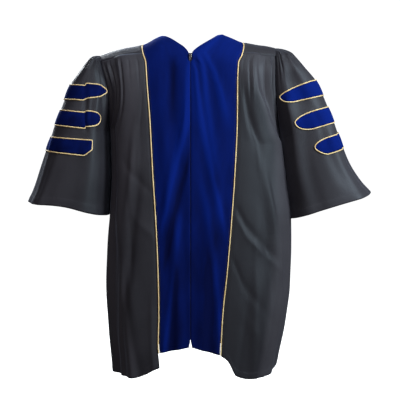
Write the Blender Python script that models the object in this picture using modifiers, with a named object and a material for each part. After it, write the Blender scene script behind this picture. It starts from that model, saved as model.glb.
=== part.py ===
"""A doctoral graduation gown as it hangs when worn, hollow and open at neck, cuffs and hem.

Metres, +Z up. The front faces -Y and +X is the right side of a front view. The origin is the
point between the shoulders, level with the shoulder seams, where the wearer carries the gown.
"""

import math

import bpy
from mathutils import Vector

# Cloth and trim
SEAM = 0.0003               # gap between neighbouring pieces
CLOTH = 0.0015              # black worsted wall
PILE = 0.0018               # velvet wall
PIPING = 0.0017             # radius of the gold piping
PIPING_PROUD = 0.0004       # how far the piping's centre stands off the cloth's face
PIPING_END = 0.0006         # its ends stop this far from the shoulder line
ARM_SEAM = 0.0002           # half of the gap along an armhole
SHOULDER_SEAM = 0.00035     # half of the gap where the velvet crosses the shoulder line
BAR_LIFT = 0.0008           # a sleeve bar's back face above the sleeve
ROUNDNESS = 2.5             # exponent of the body's rings, 2 would be an ellipse
SLEEVE_ROUNDNESS = 2.6      # the same for the sleeves' rings
FRONT_TURN = math.radians(100)   # part of a sleeve ring, from its outer edge, with even columns
FRONT_TURN_SHARE = 0.62          # share of the columns that it takes
MOST_EVEN = 0.85                 # it never takes more than this share of the turn
DEPTH_SPARE = 1.002              # a ring is at least this much deeper than the armhole it meets
SHOULDER_ROUND = {"front": 0.100, "back": 0.160}
BAR_END_INSET = 0.0050      # the velvet stops this far short of the end, inside its piping

# Body rings: height, half width to the picture's left and right, depth to the front and back
BODY_COLUMNS = ("height", "left", "right", "front", "back")
BODY_RINGS = (
    (0.040, 0.352, 0.318, 0.116, 0.116),
    (-0.060, 0.336, 0.316, 0.122, 0.120),
    (-0.165, 0.296, 0.308, 0.130, 0.128),
    (-0.283, 0.263, 0.290, 0.137, 0.134),
    (-0.350, 0.260, 0.293, 0.141, 0.139),
    (-0.430, 0.259, 0.300, 0.145, 0.144),
    (-0.556, 0.267, 0.317, 0.151, 0.153),
    (-0.640, 0.270, 0.320, 0.154, 0.159),
    (-0.790, 0.277, 0.319, 0.160, 0.171),
    (-0.910, 0.271, 0.307, 0.166, 0.180),
    (-1.000, 0.262, 0.290, 0.170, 0.186),
    (-1.100, 0.252, 0.270, 0.172, 0.190),
)

# The line over the shoulders
SHOULDER_COLUMNS = ("across", "height")
SHOULDER_LINE = (
    (-0.360, -0.068),
    (-0.305, -0.044),
    (-0.260, -0.029),
    (-0.230, -0.021),
    (-0.155, -0.006),
    (-0.090, 0.023),
    (-0.050, 0.026),
    (0.050, 0.028),
    (0.098, 0.026),
    (0.170, 0.001),
    (0.267, -0.015),
    (0.330, -0.034),
)

# Piping between velvet and black cloth: distance from the centre line at each height
PIPING_COLUMNS = ("height", "left", "right")
PIPING_LINE = (
    (0.010, 0.1560, 0.1700),
    (-0.015, 0.1550, 0.1690),
    (-0.045, 0.1480, 0.1620),
    (-0.070, 0.1395, 0.1505),
    (-0.130, 0.1355, 0.1470),
    (-0.240, 0.1270, 0.1465),
    (-0.415, 0.1180, 0.1390),
    (-0.575, 0.1080, 0.1280),
    (-0.720, 0.1020, 0.1160),
    (-0.855, 0.0995, 0.1020),
    (-0.950, 0.1015, 0.0965),
    (-1.035, 0.0950, 0.0940),
    (-1.060, 0.0935, 0.0930),
)

# Neckline of the velvet: drop below the shoulder line, distance from the centre line
NECK_COLUMNS = ("drop", "left", "right")
NECK_FRONT = (
    (0.000, 0.093, 0.093),
    (0.018, 0.060, 0.070),
    (0.030, 0.043, 0.052),
    (0.046, 0.021, 0.028),
    (0.058, 0.010, 0.013),
    (0.066, 0.0055, 0.0055),
)
NECK_PEAK = 0.05            # where the neckline's highest points are, and its drops count from
NECK_ROW_DROPS = (0.003, 0.014, 0.036)     # rows of the velvet below the shoulder line
NOTCH_ROW_DROPS = (0.010, 0.021, 0.040)    # rows of the velvet below the neckline's foot
ZIP_NOTCH = 0.0055          # half width of the notch that the zip slider sits in
ZIP_NOTCH_FOOT = -0.060
ZIP_NOTCH_EASE = 0.012
SLIT_EASE = 0.030
ZIP_EDGE = 0.0006           # half of the gap between the two velvet edges
ZIP_FOOT = -0.938           # below this the two edges part to a slit
SLIT_HALF = 0.005

# Back of the neck: share of the way to the centre back, distance across, drop of both edges
NECK_BACK_COLUMNS = ("share", "inner_across", "inner_drop", "outer_across", "outer_drop")
NECK_BACK = (
    (0.00, 0.093, 0.000, 1.000, 0.000),
    (0.15, 0.082, 0.010, 0.975, 0.012),
    (0.35, 0.066, 0.026, 0.860, 0.036),
    (0.60, 0.042, 0.042, 0.600, 0.076),
    (0.80, 0.022, 0.049, 0.320, 0.099),
    (1.00, 0.000, 0.051, 0.000, 0.108),
)

# Yoke: drop of its front seam at the piping and at the armhole
YOKE_FRONT = {-1: (0.036, 0.020), 1: (0.042, 0.030)}

# Sleeve rows: names, then heights inside and outside, and the outer edge's distance across
SLEEVE_COLUMNS = ("inside", "outside", "across", "depth")
SLEEVE_ROWS = {
    -1: (
        (-0.065, -0.052, 0.322, 0.066),
        (-0.100, -0.090, 0.354, 0.090),
        (-0.141, -0.131, 0.386, 0.098),
        (-0.190, -0.181, 0.408, 0.106),
        (-0.233, -0.217, 0.422, 0.112),
        (-0.283, -0.264, 0.441, 0.116),
        (-0.316, -0.303, 0.455, 0.119),
        (-0.368, -0.347, 0.470, 0.122),
        (-0.430, -0.404, 0.489, 0.125),
        (-0.490, -0.459, 0.508, 0.128),
        (-0.549, -0.513, 0.531, 0.131),
    ),
    1: (
        (-0.047, -0.036, 0.327, 0.066),
        (-0.098, -0.076, 0.365, 0.090),
        (-0.158, -0.121, 0.405, 0.098),
        (-0.204, -0.170, 0.428, 0.106),
        (-0.248, -0.206, 0.444, 0.112),
        (-0.304, -0.255, 0.464, 0.116),
        (-0.345, -0.290, 0.478, 0.119),
        (-0.398, -0.337, 0.497, 0.122),
        (-0.455, -0.389, 0.521, 0.125),
        (-0.511, -0.440, 0.554, 0.128),
        (-0.566, -0.485, 0.587, 0.131),
    ),
}
SLEEVE_INSIDE = {-1: (0.266, 0.263, 0.272), 1: (0.294, 0.304, 0.322)}   # armpit, halfway, cuff
YOKE_BACK_ROW = 2           # the sleeve row that the back yoke seam meets
YOKE_ARM_TARGETS = 5        # points of the yoke's edge on the armhole behind the shoulder
ARMPIT_ROW = 5
ARMHOLE_COVER = 0.62        # how far round the body the armhole starts
ARMHOLE_CURL = 3.0          # how late it turns under the arm
TOP_REACH = 0.036           # half length of the sleeve's top edge over the shoulder
BAR_ROWS = ((2, 3), (4, 5), (6, 7))

# Sleeve bars: the end's distance across, the share of the height it lies at, and the lengths
# over which the upper and lower edge come to it, with the height left there as a share
BAR_COLUMNS = ("reach", "point", "upper_taper", "lower_taper", "blunt")
BARS = {
    -1: (
        (0.267, 0.44, 0.034, 0.036, 0.16),
        (0.285, 0.36, 0.030, 0.048, 0.20),
        (0.312, 0.28, 0.006, 0.022, 0.45),
    ),
    1: (
        (0.284, 0.42, 0.078, 0.034, 0.14),
        (0.333, 0.40, 0.050, 0.040, 0.16),
        (0.392, 0.40, 0.032, 0.028, 0.24),
    ),
}
BAR_EXTRA_STEPS = (0.25, 0.6)    # columns added near a bar's end, past its first one
BAR_STEP_GAP = 0.2          # the next one is at least this far on
BAR_LEAST = 0.08            # share of the row gap under which the bar's velvet ends

# Grids
FRONT_STEPS = 16
BACK_STEPS = 60
VELVET_STEPS = 4
SLEEVE_STEPS = 28
YOKE_STEPS = 8
LOWER_ROWS = (0.11, 0.22, 0.34, 0.46, 0.58, 0.70, 0.81, 0.91, 1.0)
SHOULDER_ROWS = (0.07, 0.28, 0.60)    # rows between the shoulder line and the front yoke seam
NECK_SHARES = (0.0, 0.03, 0.10, 0.20, 0.31, 0.43, 0.55, 0.67, 0.78, 0.89, 1.0)
NECK_BAND_STEPS = 3
ON_LINE = 1e-6              # a reach just behind the shoulder line

# Folds: place across at top and foot (0 to 1), top and foot (0 to 1), half width, height
FOLD_COLUMNS = ("top", "foot", "start", "end", "half_width", "height")
FRONT_FOLDS = {
    -1: (
        (0.20, 0.16, 0.03, 1.30, 0.125, 0.010),
        (0.47, 0.52, 0.02, 1.30, 0.085, -0.010),
        (0.66, 0.78, 0.02, 0.62, 0.070, 0.007),
        (0.62, 0.70, 0.45, 1.40, 0.120, 0.014),
        (0.86, 0.90, 0.55, 1.40, 0.070, -0.008),
        (0.20, 0.30, 0.60, 1.40, 0.110, 0.016),
        (0.04, 0.02, 0.70, 1.40, 0.050, 0.012),
    ),
    1: (
        (0.10, 0.20, 0.05, 0.95, 0.090, -0.008),
        (0.14, 0.62, 0.02, 1.30, 0.095, 0.011),
        (0.50, 0.86, 0.03, 0.60, 0.080, -0.006),
        (0.42, 0.36, 0.42, 1.25, 0.100, -0.010),
        (0.20, 0.17, 0.55, 1.40, 0.110, 0.015),
        (0.70, 0.62, 0.60, 1.40, 0.110, 0.012),
    ),
}
FOLD_EASE = 0.16            # share of the way down over which a fold begins and ends
FRONT_FADE = (0.14, 0.12)   # share across over which the front's folds begin beside its two seams
SLEEVE_FADE = (0.25, 0.10)  # the same beside the underarm seam and below the armhole
BACK_FLUTES = 10            # gathers let into the back yoke seam
BACK_FLUTE_HEIGHT = (0.0025, 0.0110)    # at the yoke and at the hem
BACK_FLUTE_GROWTH = 1.3     # exponent of how they deepen on the way down
BACK_FADE = (0.10, 0.16)    # below the yoke and beside the side seams
VELVET_DRAG = 0.003         # height of the soft drag lines in the velvet
DRAG_WAVES = (9.0, 5.0)     # their phase across and down, in radians
DRAG_START = 0.2            # share of the way down over which they begin
LEFT_HEM_FLARE = (0.972, 0.025)    # where the left front's hem edge leaves its piping
SLEEVE_FOLDS = (
    (-0.52, -0.66, 0.02, 1.20, 0.085, -0.008),
    (-0.34, -0.40, 0.45, 1.50, 0.080, 0.008),
    (-0.16, -0.20, 0.50, 1.50, 0.080, -0.007),
    (0.30, 0.38, 0.45, 1.50, 0.090, 0.008),
    (0.52, 0.62, 0.02, 1.20, 0.085, -0.008),
    (0.10, 0.14, 0.55, 1.50, 0.070, 0.006),
)

# Hem heights: place round the body (0 centre front, 1 side seam, 2 centre back), each side
HEM_COLUMNS = ("place", "left", "right")
HEM_LINE = (
    (0.18, -1.030, -0.992),
    (0.22, -1.036, -1.006),
    (0.30, -1.052, -1.058),
    (0.42, -1.066, -1.070),
    (0.55, -1.068, -1.070),
    (0.70, -1.066, -1.060),
    (0.85, -1.066, -1.034),
    (1.00, -1.074, -0.988),
    (1.20, -1.064, -1.020),
    (1.60, -1.050, -1.048),
    (2.00, -1.030, -1.030),
)
VELVET_HEM = {-1: (-0.963, -0.982), 1: (-0.963, -0.989)}    # at the centre, at the piping

# Zip
TAPE_WIDTH = 0.013
TAPE = 0.0008
TAPE_STEP = 0.0020          # the tape's edge steps in over this height, below the slider
TAPE_BEHIND = 0.0015        # behind the velvet's inner face
CHAIN_HALF = 0.0022
CHAIN = 0.0016
SLIDER = {"width": 0.0080, "height": 0.0110, "depth": 0.0050, "top": -0.0440, "bevel": 0.0008,
          "proud": 0.0035}
SLIDER_FOOT = SLIDER["top"] - SLIDER["height"]
TAPE_TOP = -0.0420
BAR_RADIUS = 0.0006         # the bar that the pull tab turns on
BAR_OFF = 0.0023            # its centre in front of the slider's face
BAR_DROP = 0.0032           # its centre below the slider's top
POST_AT = 0.0023            # a post's centre beside the middle
POST = {"width": 0.0008, "overlap": 0.0018, "height": 0.0024}
PULL = {"width": 0.0030, "ring": 0.0016, "hole": 0.0010, "length": 0.0165, "plate": 0.0012,
        "flare": 0.0062}
PULL_NECK = 0.5             # share of the tab's length that its neck takes
PULL_NECK_SHARE = 0.84      # the neck's width and thickness beside the ring's and the plate's
PULL_PLATE = 0.6            # the same for its wider plate, round PULL_PLATE_AT
PULL_PLATE_AT = 0.7

COLLECTION = "graduation_gown"


def clear_scene():
    for obj in list(bpy.data.objects):
        bpy.data.objects.remove(obj, do_unlink=True)


def read_table(rows, columns, name, key):
    """The named column at this key, along a smooth curve through the table's rows."""
    place = columns.index(name)
    points = sorted((row[0], row[place]) for row in rows)
    if key <= points[0][0]:
        return points[0][1]
    if key >= points[-1][0]:
        return points[-1][1]
    k = next(i for i in range(len(points) - 1) if points[i + 1][0] >= key)
    (x0, y0), (x1, y1) = points[k], points[k + 1]
    slope = (y1 - y0) / (x1 - x0)

    def tangent(i):
        if i == 0 or i == len(points) - 1:
            return slope
        before = (points[i][1] - points[i - 1][1]) / (points[i][0] - points[i - 1][0])
        after = (points[i + 1][1] - points[i][1]) / (points[i + 1][0] - points[i][0])
        return 0.0 if before * after <= 0 else 2 * before * after / (before + after)

    t = (key - x0) / (x1 - x0)
    span = x1 - x0
    rise = (2 * t ** 3 - 3 * t ** 2 + 1) * y0 + (3 * t ** 2 - 2 * t ** 3) * y1
    return rise + span * ((t ** 3 - 2 * t ** 2 + t) * tangent(k) + (t ** 3 - t ** 2) * tangent(k + 1))


def mix(a, b, share):
    return a + (b - a) * share


def ease(share):
    share = min(max(share, 0.0), 1.0)
    return share * share * (3 - 2 * share)


def side_name(side):
    return "left" if side < 0 else "right"


def half_width(side, height):
    return read_table(BODY_RINGS, BODY_COLUMNS, side_name(side), height)


def depth_at(face, height):
    return read_table(BODY_RINGS, BODY_COLUMNS, face, height)


def shoulder_height(across):
    return read_table(SHOULDER_LINE, SHOULDER_COLUMNS, "height", across)


def piping_across(side, height):
    return read_table(PIPING_LINE, PIPING_COLUMNS, side_name(side), height)


def across_share(cover):
    return math.sin(cover * math.pi / 2) ** (2 / ROUNDNESS)


def depth_share(cover):
    return max(math.cos(cover * math.pi / 2), 0.0) ** (2 / ROUNDNESS)


def cover_of(side, across, height):
    """How far round the body, 0 at the centre and 1 at the side seam, this distance across lies."""
    share = min(abs(across) / half_width(side, height), 1.0)
    return math.asin(share ** (ROUNDNESS / 2)) * 2 / math.pi


def shoulder_line_at(side, across):
    """The shoulder line's height at this distance across."""
    return line_over(side, cover_of(side, across, 0.0))


def line_over(side, cover):
    """The shoulder line's height over this place round the body."""
    return shoulder_height(side * half_width(side, 0.0) * across_share(cover))


def place_on_body(side, cover, height, face, out=0.0, angle=None):
    """A point of the body's surface, moved out along its normal."""
    if angle is None:
        top = line_over(side, cover)
        drop = max(top - height, 0.0) / SHOULDER_ROUND[face]
        angle = math.acos(1 - drop) if drop < 1 else math.pi / 2
    forward = -1 if face == "front" else 1
    turn = cover * math.pi / 2
    across = half_width(side, height) * across_share(cover)
    back = depth_at(face, height) * depth_share(cover) * math.sin(angle)
    level = math.sin(angle)
    return Vector((
        side * (across + out * math.sin(turn) * level),
        forward * (back + out * math.cos(turn) * level),
        height + out * math.cos(angle),
    ))


def reach_point(side, cover, reach, out=0.0):
    """A point by its distance from the shoulder line: negative to the front, positive behind."""
    face = "front" if reach < 0 else "back"
    angle = min(abs(reach) / SHOULDER_ROUND[face], math.pi / 2)
    drop = SHOULDER_ROUND[face] * (1 - math.cos(angle))
    drop += max(abs(reach) - SHOULDER_ROUND[face] * math.pi / 2, 0.0)
    return place_on_body(side, cover, line_over(side, cover) - drop, face, out, angle)


def reach_of(drop, face):
    rounding = SHOULDER_ROUND[face]
    if drop < rounding:
        return rounding * math.acos(1 - drop / rounding)
    return drop - rounding + rounding * math.pi / 2


def fold_height(folds, place, share):
    """The sum of the soft ridges and troughs at this place across and share of the way down."""
    total = 0.0
    for top, foot, start, end, half, height in folds:
        centre = mix(top, foot, share)
        along = ease((share - start) / FOLD_EASE) * ease((end - share) / FOLD_EASE)
        total += height * along * math.exp(-((place - centre) / half) ** 2)
    return total


def make_material(name, colour, roughness, metallic=0.0):
    material = bpy.data.materials.new(name)
    material.use_nodes = True
    shader = material.node_tree.nodes["Principled BSDF"]
    shader.inputs["Base Color"].default_value = (*colour, 1)
    shader.inputs["Roughness"].default_value = roughness
    shader.inputs["Metallic"].default_value = metallic
    material.diffuse_color = (*colour, 1)
    return material


def add_object(name, data, look):
    obj = bpy.data.objects.new(name, data)
    bpy.data.collections[COLLECTION].objects.link(obj)
    data.materials.append(bpy.data.materials[look])
    return obj


def add_wall(name, grid, look, thickness, closed_from=None):
    """A cloth wall through a grid of points, thickened inwards.

    From row closed_from on, the last point of a row is the first one again, so that a flat
    sheet becomes a tube there, as a sleeve's seam makes it.
    """
    points = []
    index = []
    for r, row in enumerate(grid):
        line = []
        for s, point in enumerate(row):
            if closed_from is not None and r >= closed_from and s == len(row) - 1:
                line.append(line[0])
                continue
            line.append(len(points))
            points.append(point)
        index.append(line)
    faces = []
    for upper, lower in zip(index, index[1:]):
        for s in range(len(upper) - 1):
            corners = [upper[s], lower[s], lower[s + 1], upper[s + 1]]
            faces.append(list(dict.fromkeys(corners)))
    mesh = bpy.data.meshes.new(name)
    mesh.from_pydata(points, [], faces)
    mesh.shade_smooth()
    obj = add_object(name, mesh, look)
    wall = obj.modifiers.new("Wall", "SOLIDIFY")
    wall.thickness = thickness
    wall.offset = -1
    return obj


def add_tube(name, points, radius, look, cyclic=False):
    curve = bpy.data.curves.new(name, "CURVE")
    curve.dimensions = "3D"
    curve.bevel_depth = radius
    curve.bevel_resolution = 1
    curve.use_fill_caps = not cyclic
    spline = curve.splines.new("POLY")
    spline.points.add(len(points) - 1)
    for target, point in zip(spline.points, points):
        target.co = (*point, 1)
    spline.use_cyclic_u = cyclic
    return add_object(name, curve, look)


def armhole_cover(side, height):
    """How far round the body the armhole lies at this height."""
    top = SLEEVE_ROWS[side][0][0]
    foot = SLEEVE_ROWS[side][ARMPIT_ROW][0]
    share = min(max((top - height) / (top - foot), 0.0), 1.0)
    return mix(ARMHOLE_COVER, 1.0, share ** ARMHOLE_CURL)


def edge_heights(side):
    """Heights of the body's rows at the armhole and side seam, from the front yoke seam down."""
    upper = [row[0] for row in SLEEVE_ROWS[side][:ARMPIT_ROW + 1]]
    foot = read_table(HEM_LINE, HEM_COLUMNS, side_name(side), 1.0)
    return upper + [mix(upper[-1], foot, share) for share in LOWER_ROWS]


def yoke_seam_height(side, share):
    """Height of the front yoke seam, from the piping (0) to the armhole (1)."""
    start = piping_across(side, -0.04)
    end = half_width(side, -0.05) * across_share(ARMHOLE_COVER)
    inner = shoulder_height(side * start) - YOKE_FRONT[side][0]
    return mix(inner, SLEEVE_ROWS[side][0][0], (mix(start, end, share) - start) / (end - start))


def front_height(side, row, share):
    """Height of a front panel's row between the piping (0) and its outer edge (1)."""
    edge = edge_heights(side)
    down = (edge[row] - edge[0]) / (edge[-1] - edge[0])
    top = yoke_seam_height(side, share)
    place = mix(HEM_LINE[0][0], 1.0, share)
    foot = read_table(HEM_LINE, HEM_COLUMNS, side_name(side), place)
    return mix(top, foot, down), down


def seam_heights(side):
    """Heights of the rows along the piping, from the shoulder line to the velvet's hem."""
    top = shoulder_height(side * piping_across(side, 0.0))
    seam, _ = front_height(side, 0, 0.0)
    rows = [top] + [mix(top, seam, share) for share in SHOULDER_ROWS]
    foot = VELVET_HEM[side][1]
    below = [front_height(side, row, 0.0)[0] for row in range(len(edge_heights(side)))]
    return rows + [height for height in below if height > foot + 0.02] + [foot]


def seam_point(side, height, aside, out=0.0):
    """A point beside the piping's line, moved across by aside."""
    across = piping_across(side, height) + aside
    return place_on_body(side, cover_of(side, across, height), height, "front", out)


def yoke_seam_points(side):
    """The front yoke seam from the piping to the armhole, YOKE_STEPS + 1 points."""
    height = front_height(side, 0, 0.0)[0]
    across = piping_across(side, height) + PIPING + SEAM
    drop = shoulder_height(side * piping_across(side, height)) - height
    inner = (cover_of(side, across, height), reach_of(drop, "front"))
    outer = (ARMHOLE_COVER, reach_of(arm_top(side) - SLEEVE_ROWS[side][0][0], "front"))
    points = []
    for step in range(YOKE_STEPS + 1):
        share = step / YOKE_STEPS
        points.append(reach_point(side, mix(inner[0], outer[0], share), -mix(inner[1], outer[1], share)))
    points[-1] += Vector((-side * ARM_SEAM, 0, 0))
    return points


def arm_top(side):
    """Height of the shoulder line where the armhole crosses it."""
    return line_over(side, ARMHOLE_COVER)


def front_panel(side):
    seam = yoke_seam_points(side)
    under = [seam[0]] + [point for a, b in zip(seam, seam[1:]) for point in (a.lerp(b, 0.5), b)]
    grid = [[point - Vector((0, 0, SEAM)) for point in under]]
    grid[0] = grid[0] if side > 0 else grid[0][::-1]
    for row, edge in list(enumerate(edge_heights(side)))[1:]:
        line = []
        for step in range(FRONT_STEPS + 1):
            share = step / FRONT_STEPS
            height, down = front_height(side, row, share)
            inner = cover_of(side, piping_across(side, height) + PIPING + SEAM, height)
            outer = armhole_cover(side, edge)
            fade = ease(share / FRONT_FADE[0]) * ease((1 - share) / FRONT_FADE[1])
            if side < 0:
                flare = ease((down - LEFT_HEM_FLARE[0]) / LEFT_HEM_FLARE[1])
                fade = max(fade, flare * ease((1 - share) / FRONT_FADE[1]))
            out = fold_height(FRONT_FOLDS[side], share, down) * fade
            point = place_on_body(side, mix(inner, outer, share), height, "front", out)
            if step == FRONT_STEPS:
                shift = Vector((-side * ARM_SEAM, 0, 0)) if row < ARMPIT_ROW else Vector((0, -SEAM / 2, 0))
                point += shift
            line.append(point)
        grid.append(line if side > 0 else line[::-1])
    add_wall(f"front_{side_name(side)}", grid, "black_cloth", CLOTH)


def back_height(row, share):
    """Height of the back panel's row, from the left edge (0) to the right edge (1)."""
    left, right = edge_heights(-1), edge_heights(1)
    level = mix(left[row], right[row], share)
    side = -1 if share < 0.5 else 1
    hem = read_table(HEM_LINE, HEM_COLUMNS, side_name(side), 2 - abs(share * 2 - 1))
    flat = mix(left[-1], right[-1], share)
    down = max(row - ARMPIT_ROW, 0) / (len(left) - 1 - ARMPIT_ROW)
    return level + (hem - flat) * down


def back_panel():
    grid = []
    for row in range(YOKE_BACK_ROW, len(edge_heights(1))):
        line = []
        for step in range(BACK_STEPS + 1):
            share = step / BACK_STEPS
            side = -1 if share < 0.5 else 1
            height = back_height(row, share)
            if row == YOKE_BACK_ROW:
                height -= SEAM
            outer = armhole_cover(side, edge_heights(side)[row])
            cover = abs(share * 2 - 1) * outer
            down = (row - YOKE_BACK_ROW) / (len(edge_heights(1)) - 1 - YOKE_BACK_ROW)
            wave = math.cos((share - 0.5) * 2 * math.pi * BACK_FLUTES)
            swell = mix(*BACK_FLUTE_HEIGHT, down ** BACK_FLUTE_GROWTH) * ease(down / BACK_FADE[0])
            out = wave * swell * ease((1 - abs(share * 2 - 1)) / BACK_FADE[1])
            point = place_on_body(side, cover, height, "back", out)
            if step in (0, BACK_STEPS):
                if row < ARMPIT_ROW:
                    point += Vector((-side * ARM_SEAM, 0, 0))
                else:
                    point += Vector((0, SEAM / 2, 0))
            line.append(point)
        grid.append(line[::-1])
    add_wall("back_panel", grid, "black_cloth", CLOTH)


def velvet_inner(side, height):
    """Distance of the velvet's inner edge from the centre line."""
    drop = shoulder_height(side * NECK_PEAK) - height
    if drop < NECK_FRONT[-1][0]:
        return read_table(NECK_FRONT, NECK_COLUMNS, side_name(side), max(drop, 0.0))
    notch = mix(ZIP_NOTCH, ZIP_EDGE, ease((ZIP_NOTCH_FOOT - height) / ZIP_NOTCH_EASE))
    slit = mix(ZIP_EDGE, SLIT_HALF, ease((ZIP_FOOT - height) / SLIT_EASE))
    return max(notch, slit)


def velvet_rows(side):
    """Rows of the velvet as (height at the inner edge, height at the piping)."""
    outer = seam_heights(side)
    top = shoulder_line_at(side, velvet_inner(side, 1.0))
    notch = shoulder_height(side * NECK_PEAK) - NECK_FRONT[-1][0]
    inner = [top] + [top - drop for drop in NECK_ROW_DROPS]
    inner += [notch] + [notch - drop for drop in NOTCH_ROW_DROPS]
    rest = len(outer) - len(inner)
    start = inner[-1]
    for k in range(1, rest - 1):
        inner.append(mix(start, ZIP_FOOT, k / (rest - 1)))
    return list(zip(inner + [ZIP_FOOT, VELVET_HEM[side][0]], outer))


def velvet_point(side, inner, outer, share):
    """A point of a velvet row, by its heights at the inner edge and at the piping."""
    near = velvet_inner(side, inner)
    far = piping_across(side, outer) - PIPING - SEAM
    across = mix(near, far, share)
    height = mix(inner, outer, share)
    down = outer / VELVET_HEM[side][1]
    wave = math.sin(share * DRAG_WAVES[0] + down * DRAG_WAVES[1]) * math.sin(share * math.pi)
    drag = VELVET_DRAG * wave * ease(down / DRAG_START)
    return place_on_body(side, cover_of(side, across, height), height, "front", drag)


def velvet_shoulder_row(side, row, inner, outer):
    """A velvet row above the yoke seam, by its distance over the shoulder. Row 0 is on its line."""
    if row == 0:
        near = (cover_of(side, velvet_inner(side, 1.0), 0.0), ON_LINE)
        far = (cover_of(side, piping_across(side, 0.0) - PIPING - SEAM, 0.0), ON_LINE)
    else:
        near_cover = cover_of(side, velvet_inner(side, inner), inner)
        far_cover = cover_of(side, piping_across(side, outer) - PIPING - SEAM, outer)
        near = (near_cover, reach_of(line_over(side, near_cover) - inner, "front"))
        far = (far_cover, reach_of(line_over(side, far_cover) - outer, "front"))
    line = []
    for step in range(VELVET_STEPS + 1):
        share = step / VELVET_STEPS
        line.append(reach_point(side, mix(near[0], far[0], share), -mix(near[1], far[1], share)))
    return line


def velvet_front(side):
    grid = []
    for row, (inner, outer) in enumerate(velvet_rows(side)):
        if row <= len(NECK_ROW_DROPS):
            line = velvet_shoulder_row(side, row, inner, outer)
        else:
            shares = [step / VELVET_STEPS for step in range(VELVET_STEPS + 1)]
            line = [velvet_point(side, inner, outer, share) for share in shares]
        if row == 0:
            line = [point + Vector((0, -SHOULDER_SEAM, 0)) for point in line]
        grid.append(line if side > 0 else line[::-1])
    add_wall(f"velvet_{side_name(side)}", grid, "blue_velvet", PILE)


def neck_back_edges(side, share):
    """Cover and reach of the neck band's inner and outer edge behind the neck."""
    def read(name):
        return read_table(NECK_BACK, NECK_BACK_COLUMNS, name, share)

    inner_x = read("inner_across")
    outer_x = read("outer_across") * piping_across(side, 0.0)
    inner = (cover_of(side, inner_x, 0.0), reach_of(read("inner_drop"), "back"))
    outer = (cover_of(side, outer_x, 0.0), reach_of(read("outer_drop"), "back"))
    return inner, outer


def neck_path():
    """(side, share) pairs round the back of the neck, from the left shoulder to the right one."""
    left = [(-1, share) for share in NECK_SHARES]
    right = [(1, share) for share in NECK_SHARES[-2::-1]]
    return left + right


def shift_aside(points, distance):
    """Moves a line of points sideways in the ground plan, away from the neck for a positive one."""
    moved = []
    for k, point in enumerate(points):
        before = points[max(k - 1, 0)]
        after = points[min(k + 1, len(points) - 1)]
        along = (after - before)
        outward = Vector((-along.y, along.x, 0)).normalized()
        if outward.dot(Vector((point.x, point.y, 0))) < 0:
            outward = -outward
        moved.append(point + outward * distance)
    return moved


def outer_neck_line():
    """The piping's line behind the neck."""
    points = []
    for side, share in neck_path():
        _, (cover, reach) = neck_back_edges(side, share)
        points.append(reach_point(side, cover, max(reach, ON_LINE)))
    return points


def neck_band():
    outer = shift_aside(outer_neck_line(), -PIPING - SEAM)
    grid = [[] for _ in range(NECK_BAND_STEPS + 1)]
    for (side, share), edge in zip(neck_path(), outer):
        (cover_in, reach_in), (cover_out, reach_out) = neck_back_edges(side, share)
        for k, line in enumerate(grid[:-1]):
            part = k / NECK_BAND_STEPS
            reach = max(mix(reach_in, reach_out, part), ON_LINE)
            line.append(reach_point(side, mix(cover_in, cover_out, part), reach))
        grid[-1].append(edge)
    for line in grid:
        for end in (0, -1):
            line[end] = line[end] + Vector((0, SHOULDER_SEAM, 0))
    add_wall("velvet_neck", [line[::-1] for line in grid], "blue_velvet", PILE)


def yoke_half(side):
    """Lines of the yoke's band, from the front seam over the shoulder to the centre back."""
    heights = seam_heights(side)[len(SHOULDER_ROWS) + 1:0:-1]
    seam_reach = reach_of(arm_top(side) - SLEEVE_ROWS[side][0][0], "front")
    far_reaches = (seam_reach, TOP_REACH, TOP_REACH * 2 / 3, TOP_REACH / 3)
    lines = [yoke_seam_points(side)]
    for height, far in list(zip(heights, far_reaches))[1:]:
        across = piping_across(side, height) + PIPING + SEAM
        drop = shoulder_height(side * piping_across(side, height)) - height
        near = (cover_of(side, across, height), -reach_of(drop, "front"))
        lines.append(yoke_line(side, near, (ARMHOLE_COVER, -far)))
    top = piping_across(side, 0.0) + PIPING + SEAM
    lines.append(yoke_line(side, (cover_of(side, top, 0.0), ON_LINE), (ARMHOLE_COVER, ON_LINE)))
    edge = shift_aside(outer_neck_line(), PIPING + SEAM)
    edge = edge if side < 0 else edge[::-1]
    targets = yoke_back_targets(side, len(NECK_SHARES) - 1)
    for k, share in enumerate(NECK_SHARES[1:]):
        near = neck_back_edges(side, share)[1]
        line = yoke_line(side, near, targets[k])
        line[0] = edge[k + 1]
        lines.append(line)
    for line in lines[1:len(SHOULDER_ROWS) + 2 + YOKE_ARM_TARGETS]:
        line[-1] += Vector((-side * ARM_SEAM, 0, 0))
    return lines


def yoke_line(side, near, far):
    """Points between two (cover, reach) pairs."""
    points = []
    for step in range(YOKE_STEPS + 1):
        share = step / YOKE_STEPS
        points.append(reach_point(side, mix(near[0], far[0], share), mix(near[1], far[1], share)))
    return points


def yoke():
    """A band from one front yoke seam over the shoulder, across the back and down to the other."""
    grid = yoke_half(-1) + yoke_half(1)[-2::-1]
    add_wall("yoke", [line[::-1] for line in grid], "black_cloth", CLOTH)


def yoke_back_targets(side, count):
    """Cover and reach of the yoke's outer edge behind the shoulder, count points to the middle."""
    targets = [(ARMHOLE_COVER, TOP_REACH / 2), (ARMHOLE_COVER, TOP_REACH)]
    for row in range(YOKE_BACK_ROW + 1):
        height = SLEEVE_ROWS[side][row][0]
        cover = armhole_cover(side, height)
        targets.append((cover, reach_of(line_over(side, cover) - height, "back")))
    corner = targets[-1][0]
    steps = count - len(targets)
    for k in range(1, steps + 1):
        share = 1 - k / steps
        cover = corner * share
        level = mix(SLEEVE_ROWS[-1][YOKE_BACK_ROW][0], SLEEVE_ROWS[1][YOKE_BACK_ROW][0],
                    0.5 + side * share / 2)
        targets.append((cover, reach_of(line_over(side, cover) - level, "back")))
    return targets


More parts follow.
